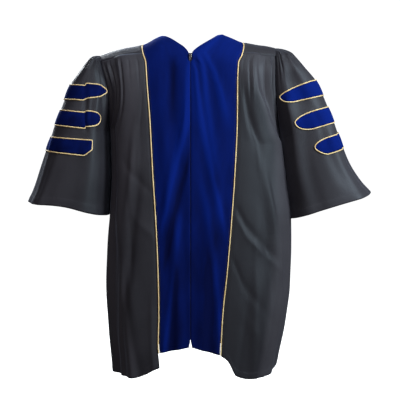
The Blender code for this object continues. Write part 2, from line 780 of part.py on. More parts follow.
def piping_front(side):
    points = []
    for height in seam_heights(side):
        points.append(seam_point(side, height, 0.0, PIPING_PROUD))
    points[0] += Vector((0, -PIPING_END, 0))
    add_tube(f"piping_{side_name(side)}", points, PIPING, "gold_piping")


def piping_neck():
    points = [point + Vector((0, 0, PIPING_PROUD)) for point in outer_neck_line()]
    points[0] += Vector((0, PIPING_END, 0))
    points[-1] += Vector((0, PIPING_END, 0))
    add_tube("piping_neck", points, PIPING, "gold_piping")


def ring_share(value):
    return math.copysign(abs(value) ** (2 / SLEEVE_ROUNDNESS), value)


def sleeve_grid(side):
    """Sleeve rows: the top edge on the armhole, then rows down to the cuff."""
    grid = []
    line = []
    for step in range(SLEEVE_STEPS + 1):
        reach = TOP_REACH * (2 * step / SLEEVE_STEPS - 1)
        point = reach_point(side, ARMHOLE_COVER, reach if abs(reach) > ON_LINE else ON_LINE)
        line.append(point + Vector((side * ARM_SEAM, 0, 0)))
    grid.append(line)
    last = len(SLEEVE_ROWS[side]) - 1
    for row, (inside, outside, across, depth) in enumerate(SLEEVE_ROWS[side]):
        if row < ARMPIT_ROW:
            cover = armhole_cover(side, inside)
            front = place_on_body(side, cover, inside, "front")
            back = place_on_body(side, cover, inside, "back")
            near = abs(front.x) + ARM_SEAM
            middle = (front.y + back.y) / 2
            half = (back.y - front.y) / 2
            depth = max(depth, half * DEPTH_SPARE)
            turn = math.pi - math.asin((half / depth) ** (SLEEVE_ROUNDNESS / 2))
        else:
            share = (row - ARMPIT_ROW) / (last - ARMPIT_ROW)
            armpit, halfway, cuff = SLEEVE_INSIDE[side]
            near = mix(armpit, halfway, share * 2) if share < 0.5 else mix(halfway, cuff, share * 2 - 1)
            middle = 0.0
            turn = math.pi
        radius = (across - near) / (1 - ring_share(math.cos(turn)))
        centre = across - radius
        even = min(FRONT_TURN, turn * MOST_EVEN)
        line = []
        for step in range(SLEEVE_STEPS + 1):
            place = 2 * step / SLEEVE_STEPS - 1
            down = row / last
            hold = ease((1 - abs(place)) / SLEEVE_FADE[0]) * ease(down / SLEEVE_FADE[1])
            out = fold_height(SLEEVE_FOLDS, place, down) * hold
            if abs(place) < FRONT_TURN_SHARE:
                angle = even * place / FRONT_TURN_SHARE
            else:
                rest = (abs(place) - FRONT_TURN_SHARE) / (1 - FRONT_TURN_SHARE)
                angle = math.copysign(mix(even, turn, rest), place)
            x = centre + (radius + out) * ring_share(math.cos(angle))
            y = middle + (depth + out) * ring_share(math.sin(angle))
            z = mix(inside, outside, (x - near) / (across - near))
            line.append(Vector((side * x, y, z)))
        grid.append(line)
    return grid


def sleeve(side):
    grid = sleeve_grid(side)
    oriented = grid if side > 0 else [line[::-1] for line in grid]
    add_wall(f"sleeve_{side_name(side)}", oriented, "black_cloth", CLOTH, ARMPIT_ROW + 1)


def sleeve_normal(grid, row, step):
    """Outward normal of the sleeve at a grid point."""
    across = grid[row][step + 1] - grid[row][step - 1]
    along = grid[row + 1][step] - grid[row - 1][step]
    normal = along.cross(across).normalized()
    centre = sum(grid[row], Vector()) / len(grid[row])
    return normal if normal.dot(grid[row][step] - centre) > 0 else -normal


def bar_columns(grid, upper, reach):
    """Places along a sleeve row, in steps, from a bar's front end round to its back end."""
    middle = SLEEVE_STEPS / 2
    line = grid[upper]
    first = next(k for k in range(SLEEVE_STEPS) if abs(line[k].x) > reach)
    inner, outer = abs(line[first - 1].x), abs(line[first].x)
    start = first - 1 + (reach - inner) / (outer - inner)
    front = [start] + [start + extra for extra in BAR_EXTRA_STEPS]
    front += [k for k in range(SLEEVE_STEPS) if front[-1] + BAR_STEP_GAP < k <= middle]
    return front + [2 * middle - k for k in front[-2::-1]]


def sleeve_place(grid, rows, step, share, out):
    """A point between two sleeve rows, at a fractional step, moved out along the normal."""
    upper, lower = rows
    low = min(int(step), len(grid[upper]) - 2)
    part = step - low
    corners = []
    for row in (upper, lower):
        for k in (low, low + 1):
            k = min(max(k, 1), len(grid[row]) - 2)
            corners.append(sleeve_normal(grid, row, k))
    top = grid[upper][low].lerp(grid[upper][low + 1], part)
    foot = grid[lower][low].lerp(grid[lower][low + 1], part)
    normal = corners[0].lerp(corners[1], part).lerp(corners[2].lerp(corners[3], part), share)
    return top.lerp(foot, share) + normal.normalized() * out


def bar_outline(side, number, grid):
    """A bar's columns: step, share of the row gap at its upper and lower edge, length from the end."""
    upper, lower = (row + 1 for row in BAR_ROWS[number])
    reach, point, upper_taper, lower_taper, blunt = BARS[side][number]
    steps = bar_columns(grid, upper, reach)
    places = [sleeve_place(grid, (upper, lower), step, 0.5, 0.0) for step in steps]
    lengths = [0.0]
    for before, after in zip(places, places[1:]):
        lengths.append(lengths[-1] + (after - before).length)
    edges = []
    for step, length in zip(steps, lengths):
        from_end = min(length, lengths[-1] - length)
        above = mix(blunt, 1.0, math.sqrt(min(from_end / upper_taper, 1.0)))
        below = mix(blunt, 1.0, math.sqrt(min(from_end / lower_taper, 1.0)))
        edges.append((step, point - point * above, point + (1 - point) * below, length))
    return (upper, lower), edges


def inner_edges(edges, height):
    """The bar's velvet, inside its piping: the same columns with both edges drawn in."""
    inner = []
    for before, here, after in zip(edges, edges[1:], edges[2:]):
        from_end = min(here[3], edges[-1][3] - here[3])
        span = after[3] - before[3]
        insets = []
        for place in (1, 2):
            steep = max(abs(here[place] - before[place]) / (here[3] - before[3]),
                        abs(after[place] - here[place]) / (after[3] - here[3]),
                        abs(after[place] - before[place]) / span) * height
            insets.append((PIPING + (PIPING + SEAM) * math.hypot(1, steep)) / height)
        top, foot = here[1] + insets[0], here[2] - insets[1]
        if from_end >= BAR_END_INSET and foot - top > BAR_LEAST:
            inner.append((here[0], top, foot))
    return inner


def sleeve_bar(side, number, grid):
    rows, edges = bar_outline(side, number, grid)
    height = (grid[rows[0]][SLEEVE_STEPS // 2] - grid[rows[1]][SLEEVE_STEPS // 2]).length
    inner = inner_edges(edges, height)
    face = BAR_LIFT + PILE
    upper = [sleeve_place(grid, rows, step, top, face) for step, top, _ in inner]
    lower = [sleeve_place(grid, rows, step, foot, face) for step, _, foot in inner]
    lines = [upper, lower] if side > 0 else [upper[::-1], lower[::-1]]
    add_wall(f"bar_{side_name(side)}_{number + 1}", lines, "blue_velvet", PILE)
    trim = PIPING + BAR_LIFT
    aside = PIPING / height
    above = [sleeve_place(grid, rows, edge[0], edge[1] + aside, trim) for edge in edges]
    below = [sleeve_place(grid, rows, edge[0], edge[2] - aside, trim) for edge in edges]
    name = f"piping_bar_{side_name(side)}_{number + 1}"
    add_tube(name, above + below[::-1], PIPING, "gold_piping", cyclic=True)


def zip_strip(name, edges, thickness, look, start):
    """A strip behind the velvet, between two distances across, given for each height."""
    heights = [SLIDER_FOOT - SEAM, SLIDER_FOOT - TAPE_STEP]
    if start > heights[0]:
        heights.insert(0, start)
    heights += [inner for inner, _ in velvet_rows(1) if ZIP_FOOT <= inner < SLIDER_FOOT - 2 * TAPE_STEP]
    grid = []
    for height in heights:
        line = []
        for across in edges(height):
            side = -1 if across < 0 else 1
            cover = cover_of(side, across, height)
            line.append(place_on_body(side, cover, height, "front", -PILE - TAPE_BEHIND))
        grid.append(line)
    add_wall(name, grid, look, thickness)


def tape_edges(side, height):
    near = CHAIN_HALF + SEAM if height < SLIDER_FOOT - TAPE_STEP / 2 else SLIDER["width"] / 2 + SEAM
    edges = (side * near, side * (CHAIN_HALF + TAPE_WIDTH))
    return edges if side > 0 else edges[::-1]


def add_box(name, size, centre, look, bevel=0.0):
    bpy.ops.mesh.primitive_cube_add(size=1, location=(0, 0, 0))
    obj = bpy.context.object
    for vertex in obj.data.vertices:
        vertex.co = Vector((a * b for a, b in zip(vertex.co, size)))
    obj.name = name
    obj.location = centre
    move_to_collection(obj, look)
    if bevel:
        edge = obj.modifiers.new("Edge", "BEVEL")
        edge.width = bevel
        edge.segments = 2
    return obj


def add_rod(name, radius, length, centre, look, sides=16):
    bpy.ops.mesh.primitive_cylinder_add(vertices=sides, radius=radius, depth=length)
    obj = bpy.context.object
    obj.name = name
    obj.location = centre
    obj.rotation_euler = (0, math.pi / 2, 0)
    move_to_collection(obj, look)
    return obj


def move_to_collection(obj, look):
    for holder in list(obj.users_collection):
        holder.objects.unlink(obj)
    bpy.data.collections[COLLECTION].objects.link(obj)
    obj.data.materials.clear()
    obj.data.materials.append(bpy.data.materials[look])


def as_cutter(obj):
    cutters = bpy.data.collections["cutters"]
    for holder in list(obj.users_collection):
        holder.objects.unlink(obj)
    cutters.objects.link(obj)
    obj.hide_render = True
    obj.display_type = "WIRE"


def combine(target, other, operation):
    cut = target.modifiers.new(operation.title(), "BOOLEAN")
    cut.operation = operation
    cut.object = other
    as_cutter(other)


def zip_slider():
    """The slider stays at the top of the zip. Its bridge carries the pull tab."""
    middle = SLIDER["top"] - SLIDER["height"] / 2
    face = place_on_body(1, 0.0, middle, "front").y - SLIDER["proud"]
    centre = Vector((0, face + SLIDER["depth"] / 2, middle))
    size = (SLIDER["width"], SLIDER["depth"], SLIDER["height"])
    body = add_box("zip_slider", size, centre, "zip_metal", SLIDER["bevel"])
    axis = Vector((0, face - BAR_OFF, SLIDER["top"] - BAR_DROP))
    for side in (-1, 1):
        post_centre = axis + Vector((side * POST_AT, BAR_OFF / 2, 0))
        post_size = (POST["width"], BAR_OFF + POST["overlap"], POST["height"])
        post = add_box(f"slider_post_{side_name(side)}", post_size, post_centre, "zip_metal")
        combine(body, post, "UNION")
    bar = add_rod("slider_bar", BAR_RADIUS, 2 * POST_AT, axis, "zip_metal")
    combine(body, bar, "UNION")
    return axis


def zip_pull(axis):
    """The pull tab, its origin on the bridge's bar, which it turns round."""
    tab = add_rod("zip_pull", PULL["ring"], PULL["width"], axis, "zip_metal", 20)
    neck_size = (PULL["width"] * PULL_NECK_SHARE, PULL["plate"] * PULL_NECK_SHARE, PULL["length"] * PULL_NECK)
    neck_centre = axis - Vector((0, 0, PULL["ring"] * 0.75 + neck_size[2] / 2))
    neck = add_box("pull_neck", neck_size, neck_centre, "zip_metal")
    combine(tab, neck, "UNION")
    plate_size = (PULL["flare"], PULL["plate"], PULL["length"] * PULL_PLATE)
    plate_centre = axis - Vector((0, 0, PULL["length"] * PULL_PLATE_AT))
    plate = add_box("pull_plate", plate_size, plate_centre, "zip_metal")
    combine(tab, plate, "UNION")
    hole = add_rod("pull_hole", PULL["hole"], PULL["width"] * 2, axis, "zip_metal")
    combine(tab, hole, "DIFFERENCE")


def build():
    clear_scene()
    for name in (COLLECTION, "cutters"):
        holder = bpy.data.collections.new(name)
        bpy.context.scene.collection.children.link(holder)
    make_material("black_cloth", (0.012, 0.011, 0.014), 0.72)
    make_material("blue_velvet", (0.004, 0.012, 0.16), 0.9)
    make_material("gold_piping", (0.60, 0.42, 0.16), 0.4)
    make_material("zip_tape", (0.01, 0.012, 0.03), 0.8)
    make_material("zip_metal", (0.32, 0.29, 0.27), 0.35, 1.0)
    back_panel()
    yoke()
    neck_band()
    piping_neck()
    for side in (-1, 1):
        front_panel(side)
        velvet_front(side)
        piping_front(side)
        sleeve(side)
        grid = sleeve_grid(side)
        for number in range(len(BAR_ROWS)):
            sleeve_bar(side, number, grid)
        zip_strip(f"zip_tape_{side_name(side)}", lambda height: tape_edges(side, height), TAPE,
                  "zip_tape", TAPE_TOP)
    zip_strip("zip_chain", lambda height: (-CHAIN_HALF, CHAIN_HALF), CHAIN, "zip_tape",
              SLIDER_FOOT - SEAM)
    zip_pull(zip_slider())


build()
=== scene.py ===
import math
import time

import bpy
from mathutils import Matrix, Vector, noise


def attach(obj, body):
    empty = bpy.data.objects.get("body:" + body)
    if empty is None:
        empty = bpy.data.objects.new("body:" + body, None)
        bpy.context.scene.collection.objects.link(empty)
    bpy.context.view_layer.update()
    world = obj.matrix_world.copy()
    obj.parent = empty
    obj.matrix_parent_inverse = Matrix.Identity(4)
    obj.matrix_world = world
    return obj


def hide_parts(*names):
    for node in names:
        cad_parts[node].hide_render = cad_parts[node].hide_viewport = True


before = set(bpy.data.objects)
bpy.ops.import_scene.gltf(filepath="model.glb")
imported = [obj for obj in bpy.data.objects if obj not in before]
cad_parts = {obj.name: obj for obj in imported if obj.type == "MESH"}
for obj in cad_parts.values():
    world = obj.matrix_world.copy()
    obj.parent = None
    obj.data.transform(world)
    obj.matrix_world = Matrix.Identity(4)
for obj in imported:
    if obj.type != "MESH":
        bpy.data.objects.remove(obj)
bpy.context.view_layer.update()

# A doctoral gown as it hangs when worn. Metres, +Z up, front to -Y, +X to the right of a front view.

startedAt = time.time()


def say(stage):
    print(f"{stage}: {time.time() - startedAt:.0f} s")


def mix(a, b, share):
    return a + (b - a) * share


def ease(share):
    share = min(max(share, 0.0), 1.0)
    return share * share * (3 - 2 * share)


def drift(x, y=0.0, z=0.0):    # smooth unevenness between -1 and 1, the same each run
    return noise.noise(Vector((x, y, z)))


class Track:    # a smooth line through rows of (place, value) that never overshoots them
    def __init__(self, rows):
        self.at, self.values = zip(*sorted(rows))
        rises = [(b - a) / (q - p) for a, b, p, q in zip(self.values, self.values[1:], self.at, self.at[1:])]
        inner = [0.0 if a * b <= 0 else 2 * a * b / (a + b) for a, b in zip(rises, rises[1:])]
        self.slopes = [rises[0], *inner, rises[-1]]

    def __call__(self, place):
        if place <= self.at[0]:
            return self.values[0]
        if place >= self.at[-1]:
            return self.values[-1]
        k = next(i for i in range(len(self.at) - 1) if self.at[i + 1] >= place)
        span = self.at[k + 1] - self.at[k]
        t = (place - self.at[k]) / span
        level = mix(self.values[k], self.values[k + 1], t * t * (3 - 2 * t))
        bend = (t ** 3 - 2 * t * t + t) * self.slopes[k] + (t ** 3 - t * t) * self.slopes[k + 1]
        return level + span * bend


def tracks(columns, rows):    # one Track for each column, by its name, over the first column
    return {name: Track([(row[0], row[k]) for row in rows]) for k, name in enumerate(columns) if k}


def along(values, place):    # a value at a fractional place of a list, in straight steps
    low = min(max(int(place), 0), len(values) - 2)
    return mix(values[low], values[low + 1], place - low)


# The form that the gown is worn on, and the lines of its cut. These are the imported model's own sizes.

bodyForm = tracks(("height", -1, 1, "front", "back"), (
    (0.040, 0.352, 0.318, 0.116, 0.116),
    (-0.060, 0.336, 0.316, 0.122, 0.120),
    (-0.165, 0.296, 0.308, 0.130, 0.128),
    (-0.283, 0.263, 0.290, 0.137, 0.134),
    (-0.350, 0.260, 0.293, 0.141, 0.139),
    (-0.430, 0.259, 0.300, 0.145, 0.144),
    (-0.556, 0.267, 0.317, 0.151, 0.153),
    (-0.640, 0.270, 0.320, 0.154, 0.159),
    (-0.790, 0.277, 0.319, 0.160, 0.171),
    (-0.910, 0.271, 0.307, 0.166, 0.180),
    (-1.000, 0.262, 0.290, 0.170, 0.186),
    (-1.100, 0.252, 0.270, 0.172, 0.190),
))
shoulderLine = Track((
    (-0.360, -0.068), (-0.305, -0.044), (-0.260, -0.029), (-0.230, -0.021), (-0.155, -0.006),
    (-0.090, 0.023), (-0.050, 0.026), (0.050, 0.028), (0.098, 0.026), (0.170, 0.001),
    (0.267, -0.015), (0.330, -0.034),
))
pipingLine = tracks(("height", -1, 1), (
    (0.010, 0.1560, 0.1700),
    (-0.015, 0.1550, 0.1690),
    (-0.045, 0.1480, 0.1620),
    (-0.070, 0.1395, 0.1505),
    (-0.130, 0.1355, 0.1470),
    (-0.240, 0.1270, 0.1465),
    (-0.415, 0.1180, 0.1390),
    (-0.575, 0.1080, 0.1280),
    (-0.720, 0.1020, 0.1160),
    (-0.855, 0.0995, 0.1020),
    (-0.950, 0.1015, 0.0965),
    (-1.035, 0.0950, 0.0940),
    (-1.060, 0.0935, 0.0930),
))
neckFront = tracks(("drop", -1, 1), (
    (0.000, 0.093, 0.093),
    (0.018, 0.060, 0.070),
    (0.030, 0.043, 0.052),
    (0.046, 0.021, 0.028),
    (0.058, 0.010, 0.013),
    (0.066, 0.0055, 0.0055),
))
neckBack = tracks(("share", "innerAcross", "innerDrop", "outerAcross", "outerDrop"), (
    (0.00, 0.093, 0.000, 1.000, 0.000),
    (0.15, 0.082, 0.010, 0.975, 0.012),
    (0.35, 0.066, 0.026, 0.860, 0.036),
    (0.60, 0.042, 0.042, 0.600, 0.076),
    (0.80, 0.022, 0.049, 0.320, 0.099),
    (1.00, 0.000, 0.051, 0.000, 0.108),
))
hemLine = tracks(("place", -1, 1), (
    (0.18, -1.030, -0.992),
    (0.22, -1.036, -1.006),
    (0.30, -1.052, -1.058),
    (0.42, -1.066, -1.070),
    (0.55, -1.068, -1.070),
    (0.70, -1.066, -1.060),
    (0.85, -1.066, -1.034),
    (1.00, -1.074, -0.988),
    (1.20, -1.064, -1.020),
    (1.60, -1.050, -1.048),
    (2.00, -1.030, -1.030),
))
sleeveHeights = {
    -1: ((-0.065, -0.052), (-0.100, -0.090), (-0.141, -0.131), (-0.190, -0.181), (-0.233, -0.217),
         (-0.283, -0.264), (-0.316, -0.303), (-0.368, -0.347), (-0.430, -0.404), (-0.490, -0.459),
         (-0.557, -0.513)),
    1: ((-0.047, -0.036), (-0.098, -0.076), (-0.158, -0.121), (-0.204, -0.170), (-0.248, -0.206),
        (-0.304, -0.255), (-0.345, -0.290), (-0.398, -0.337), (-0.455, -0.389), (-0.511, -0.440),
        (-0.568, -0.481)),
}
sleeveReach = {
    -1: (0.322, 0.354, 0.386, 0.408, 0.422, 0.441, 0.455, 0.470, 0.489, 0.508, 0.531),
    1: (0.327, 0.365, 0.405, 0.428, 0.444, 0.464, 0.478, 0.497, 0.521, 0.554, 0.591),
}
sleeveDepth = (0.066, 0.090, 0.098, 0.106, 0.112, 0.116, 0.119, 0.122, 0.125, 0.128, 0.131)

cut = {
    "seam": 0.0003,               # between neighbouring pieces
    "armSeam": 0.0002,            # half of the gap along an armhole
    "shoulderSeam": 0.00035,      # half of the gap where the velvet crosses the shoulder line
    "cloth": 0.0012,
    "velvet": 0.0016,
    "piping": 0.0017,             # radius
    "pipingProud": 0.0004,
    "roundness": 2.5,             # exponent of the body's rings
    "sleeveRoundness": 2.6,
    "frontRounding": 0.100,       # radius over the shoulder
    "backRounding": 0.160,
    "armholeCover": 0.62,         # how far round the body the armhole starts
    "armholeCurl": 3.0,           # how late it turns under the arm
    "topReach": 0.036,            # half length of the sleeve's top edge over the shoulder
    "armpitRow": 5,
    "neckPeak": 0.05,
    "notch": 0.0055,              # half width of the notch round the zip slider
    "notchFoot": -0.060,
    "zipEdge": 0.0006,
    "zipFoot": -0.938,
    "slitHalf": 0.005,
}
yokeDrop = {-1: (0.036, 0.020), 1: (0.042, 0.030)}
velvetHem = {-1: (-0.963, -0.982), 1: (-0.963, -0.989)}
lowerShares = (0.11, 0.22, 0.34, 0.46, 0.58, 0.70, 0.81, 0.91, 1.0)
sideName = {-1: "left", 1: "right"}
rounding = {"front": cut["frontRounding"], "back": cut["backRounding"]}
onLine = 1e-6


def acrossShare(cover):
    return math.sin(min(cover, 1.0) * math.pi / 2) ** (2 / cut["roundness"])


def depthShare(cover):
    return max(math.cos(cover * math.pi / 2), 0.0) ** (2 / cut["roundness"])


def coverOf(side, across, height):
    share = min(abs(across) / bodyForm[side](height), 1.0)
    return math.asin(share ** (cut["roundness"] / 2)) * 2 / math.pi


def lineOver(side, cover):
    return shoulderLine(side * bodyForm[side](0.0) * acrossShare(cover))


def bodyPoint(side, cover, height, face, out=0.0, angle=None):
    if angle is None:
        drop = max(lineOver(side, cover) - height, 0.0) / rounding[face]
        angle = math.acos(1 - drop) if drop < 1 else math.pi / 2
    turn = cover * math.pi / 2
    level = math.sin(angle)
    back = bodyForm[face](height) * depthShare(cover) * level
    forward = -1 if face == "front" else 1
    return Vector((
        side * (bodyForm[side](height) * acrossShare(cover) + out * math.sin(turn) * level),
        forward * (back + out * math.cos(turn) * level),
        height + out * math.cos(angle),
    ))


def reachPoint(side, cover, reach, out=0.0):    # reach is from the shoulder line, negative to the front
    face = "front" if reach < 0 else "back"
    angle = min(abs(reach) / rounding[face], math.pi / 2)
    drop = rounding[face] * (1 - math.cos(angle))
    drop += max(abs(reach) - rounding[face] * math.pi / 2, 0.0)
    return bodyPoint(side, cover, lineOver(side, cover) - drop, face, out, angle)


def reachOf(drop, face):
    if drop < rounding[face]:
        return rounding[face] * math.acos(1 - max(drop, 0.0) / rounding[face])
    return drop - rounding[face] + rounding[face] * math.pi / 2


def armholeCover(side, height):
    top, foot = sleeveHeights[side][0][0], sleeveHeights[side][cut["armpitRow"]][0]
    share = min(max((top - height) / (top - foot), 0.0), 1.0)
    return mix(cut["armholeCover"], 1.0, share ** cut["armholeCurl"])


def edgeHeights(side):
    upper = [inside for inside, _ in sleeveHeights[side][:cut["armpitRow"] + 1]]
    return upper + [mix(upper[-1], hemLine[side](1.0), share) for share in lowerShares]


def yokeSeamHeight(side, share):
    inner = shoulderLine(side * pipingLine[side](-0.04)) - yokeDrop[side][0]
    return mix(inner, sleeveHeights[side][0][0], share)


def seamRows(side):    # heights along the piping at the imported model's rows
    top = shoulderLine(side * pipingLine[side](0.0))
    seam = yokeSeamHeight(side, 0.0)
    edge = edgeHeights(side)
    hem = hemLine[side](hemLine[side].at[0])
    below = [mix(seam, hem, (height - edge[0]) / (edge[-1] - edge[0])) for height in edge]
    foot = velvetHem[side][1]
    return [top] + [mix(top, seam, share) for share in (0.07, 0.28, 0.60)] + [z for z in below if z > foot + 0.02] + [foot]


def yokeSeamPoint(side, share, out=0.0):
    height = yokeSeamHeight(side, 0.0)
    across = pipingLine[side](height) + cut["piping"] + cut["seam"]
    drop = shoulderLine(side * pipingLine[side](height)) - height
    near = (coverOf(side, across, height), reachOf(drop, "front"))
    far = (cut["armholeCover"], reachOf(armTop(side) - sleeveHeights[side][0][0], "front"))
    return reachPoint(side, mix(near[0], far[0], share), -mix(near[1], far[1], share), out)


def armTop(side):
    return lineOver(side, cut["armholeCover"])


# Meshes from grids of points

def gridMesh(name, grid, look, thickness=0.0, flip=False, closed=False, nap=None, shadeSmooth=True):
    rows, columns = len(grid), len(grid[0])
    points = [tuple(point) for row in grid for point in row]
    faces = []
    for r in range(rows - 1):
        for c in range(columns - 1):
            a = r * columns + c
            quad = (a, a + columns, a + columns + 1, a + 1)
            faces.append(quad[::-1] if flip else quad)
    mesh = bpy.data.meshes.new(name)
    mesh.from_pydata(points, [], faces)
    down = [0.0]
    for upper, lower in zip(grid, grid[1:]):
        steps = [(b - a).length for a, b in zip(upper[::4], lower[::4])]
        down.append(down[-1] + sum(steps) / len(steps))
    place = []
    for r, row in enumerate(grid):
        across = [0.0]
        for a, b in zip(row, row[1:]):
            across.append(across[-1] + (b - a).length)
        place += [(x - across[-1] / 2, -down[r]) for x in across]
    uv = mesh.uv_layers.new(name="cut")
    corners = [0] * len(mesh.loops)
    mesh.loops.foreach_get("vertex_index", corners)
    uv.data.foreach_set("uv", [value for k in corners for value in place[k]])
    if nap is not None:
        layer = mesh.attributes.new("nap", "FLOAT", "POINT")
        layer.data.foreach_set("value", [value for row in nap for value in row])
    if shadeSmooth:
        mesh.shade_smooth()
    piece = bpy.data.objects.new(name, mesh)
    bpy.context.scene.collection.objects.link(piece)
    mesh.materials.append(look)
    if closed:
        joinSeam(piece)
    if thickness:
        wall = piece.modifiers.new("Wall", "SOLIDIFY")
        wall.thickness = thickness
        wall.offset = -1
    return piece


def joinSeam(piece):    # merges the first and last column of a tube
    weld = piece.modifiers.new("Seam", "WELD")
    weld.merge_threshold = 0.00002


def areaOf(grid):
    total = 0.0
    for upper, lower in zip(grid, grid[1:]):
        for k in range(len(upper) - 1):
            total += (lower[k + 1] - upper[k]).cross(lower[k] - upper[k + 1]).length / 2
    return total


def lengthOf(line):
    return sum((b - a).length for a, b in zip(line, line[1:]))


def wear(piece, grid, replaced):
    width = max(lengthOf(row) for row in grid[::3])
    length = max(lengthOf(column) for column in list(zip(*grid))[::3])
    area = min(areaOf(grid), width * length)
    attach(piece, "gown")
    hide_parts(*replaced)
    print(f"  {piece.name}: cut {width:.3f} x {length:.3f} m, {area:.4f} square metres")
    return piece


def spaced(count, crowd=0.0):    # shares from 0 to 1, closer together at both ends
    shares = [k / count for k in range(count + 1)]
    return [s - crowd * math.sin(2 * math.pi * s) / (2 * math.pi) for s in shares]


def foldOut(folds, place, down, seed, blend=0.16, sharp=False):
    total = 0.0
    for k, (top, foot, start, end, half, height) in enumerate(folds):
        centre = mix(top, foot, down) + 0.35 * half * drift(down * 4.0, k * 7.3, seed)
        held = ease((down - start) / blend) * ease((end - down) / blend)
        if held <= 0:
            continue
        off = (place - centre) / half
        if abs(off) > 4:
            continue
        shape = 1 / (1 + off * off) ** 2 if sharp else math.exp(-off * off)
        total += height * held * shape
    return total


# Materials

class Value:    # one socket of a node tree, with arithmetic
    def __init__(self, look, socket):
        self.look, self.socket = look, socket

    def math(self, operation, a, b):
        return self.look.node("ShaderNodeMath", {"operation": operation}, {0: a, 1: b})

    def __add__(self, other):
        return self.math("ADD", self, other)

    def __sub__(self, other):
        return self.math("SUBTRACT", self, other)

    def __rsub__(self, other):
        return self.math("SUBTRACT", other, self)

    def __mul__(self, other):
        return self.math("MULTIPLY", self, other)

    def __pow__(self, other):
        return self.math("POWER", self, other)

    __radd__ = __add__
    __rmul__ = __mul__


class Look:    # a material under construction
    def __init__(self, name):
        self.material = bpy.data.materials.new(name)
        self.material.use_nodes = True
        self.tree = self.material.node_tree
        self.shader = self.tree.nodes["Principled BSDF"]

    def node(self, kind, settings=None, inputs=None, output=0):
        made = self.tree.nodes.new(kind)
        for key, value in (settings or {}).items():
            setattr(made, key, value)
        self.fill(made, inputs or {})
        return Value(self, made.outputs[output])

    def fill(self, node, inputs):
        for key, value in inputs.items():
            if isinstance(value, Value):
                self.tree.links.new(value.socket, node.inputs[key])
            else:
                node.inputs[key].default_value = value

    def objectPlace(self):
        return self.node("ShaderNodeTexCoord", output="Object")

    def clothPlace(self):
        return self.node("ShaderNodeUVMap", {"uv_map": "cut"})

    def noise(self, place, scale, detail=3.0, roughness=0.5):
        return self.node("ShaderNodeTexNoise", {}, {"Vector": place, "Scale": scale, "Detail": detail,
                                                    "Roughness": roughness})

    def stretch(self, place, scale):
        return self.node("ShaderNodeMapping", {}, {"Vector": place, "Scale": scale})

    def axis(self, place, name):
        return self.node("ShaderNodeSeparateXYZ", {}, {0: place}, name)

    def ramp(self, value, low, high):
        return self.node("ShaderNodeMapRange", {}, {"Value": value, "From Min": low, "From Max": high})

    def blend(self, share, first, second):
        return self.node("ShaderNodeMix", {"data_type": "RGBA"}, {0: share, 6: (*first, 1), 7: (*second, 1)}, 2)

    def bump(self, height, strength, distance):
        return self.node("ShaderNodeBump", {}, {"Height": height, "Strength": strength, "Distance": distance})

    def finish(self, inputs):
        self.fill(self.shader, inputs)
        return self.material


wool = {
    "dark": (0.0068, 0.0044, 0.0060),
    "light": (0.0310, 0.0272, 0.0325),
    "mottle": 0.42,          # how much of that range the weave's own patches take
    "roughness": 0.61,
    "sheen": 0.15,
    "sheenTint": (0.58, 0.68, 0.92, 1.0),
    "thread": 0.0011,        # one twill rib
    "patch": 9.0,
    "crumple": 26.0,         # soft creases left from folding, by the metre
    "relief": 0.0013,
}


def woolLook():
    look = Look("black_worsted")
    place, cloth = look.objectPlace(), look.clothPlace()
    ribPhase = (look.axis(cloth, "X") + look.axis(cloth, "Y") * 1.15) * (2 * math.pi / wool["thread"])
    rib = look.node("ShaderNodeMath", {"operation": "SINE"}, {0: ribPhase}) * 0.5 + 0.5
    lint = look.noise(place, 900.0, 2.0)
    patch = look.ramp(look.noise(place, wool["patch"], 4.0), 0.30, 0.72)
    slub = look.noise(look.stretch(cloth, (900.0, 26.0, 1.0)), 1.0, 2.0)
    crumple = look.noise(look.stretch(place, (1.0, 1.0, 0.55)), wool["crumple"], 5.0, 0.55)
    # the nap attribute is painted light: painted highlights and painted shade on the fronts and sleeves
    paintedLightAndNap = look.node("ShaderNodeAttribute", {"attribute_name": "nap"}, output="Fac")
    tone = (patch * 0.62 + slub * 0.22 + rib * 0.16 - 0.5) * wool["mottle"] + paintedLightAndNap * 0.5 + 0.5
    return look.finish({
        "Base Color": look.blend(tone, wool["dark"], wool["light"]),
        "Roughness": lint * 0.10 + (wool["roughness"] - 0.05),
        "Specular IOR Level": 0.44,
        "Specular Tint": (0.78, 0.90, 1.0, 1.0),
        "Sheen Weight": wool["sheen"],
        "Sheen Roughness": 0.42,
        "Sheen Tint": wool["sheenTint"],
        "Normal": look.bump(crumple * 0.80 + rib * 0.06 + lint * 0.03, 0.55, wool["relief"]),
    })


pile = {
    # painted shade and painted light: a shaded and a lit copy of the velvet's colour
    "shaded": (0.0004, 0.0026, 0.034),
    "lit": (0.0008, 0.0105, 0.135),
    "sheen": 0.26,
    "sheenTint": (0.03, 0.16, 1.0, 1.0),
    "nap": 1700.0,
}


def velvetLook():
    look = Look("blue_velvet_pile")
    place, cloth = look.objectPlace(), look.clothPlace()
    # the nap attribute is mostly painted light (the bands' painted falloff and ridge highlights, the bars' painted
    # sides) with random unevenness
    paintedLightAndNap = look.node("ShaderNodeAttribute", {"attribute_name": "nap"}, output="Fac")
    crushed = look.noise(look.stretch(cloth, (38.0, 9.0, 1.0)), 1.0, 3.0)
    speck = look.noise(place, pile["nap"], 2.0)
    tone = look.ramp(paintedLightAndNap + (crushed - 0.5) * 0.55 + (speck - 0.5) * 0.25, 0.0, 1.0)
    return look.finish({
        "Base Color": look.blend(tone, pile["shaded"], pile["lit"]),
        "Roughness": speck * 0.10 + 0.84,
        "Specular IOR Level": 0.06,
        "Sheen Weight": pile["sheen"],
        "Sheen Roughness": 0.30,
        "Sheen Tint": pile["sheenTint"],
        "Normal": look.bump(speck, 0.55, 0.0004),
    })


satin = {
    "shade": (0.66, 0.43, 0.15),
    "shine": (0.98, 0.78, 0.42),
    "wrap": 0.0009,      # one diagonal rib of the bias strip
}


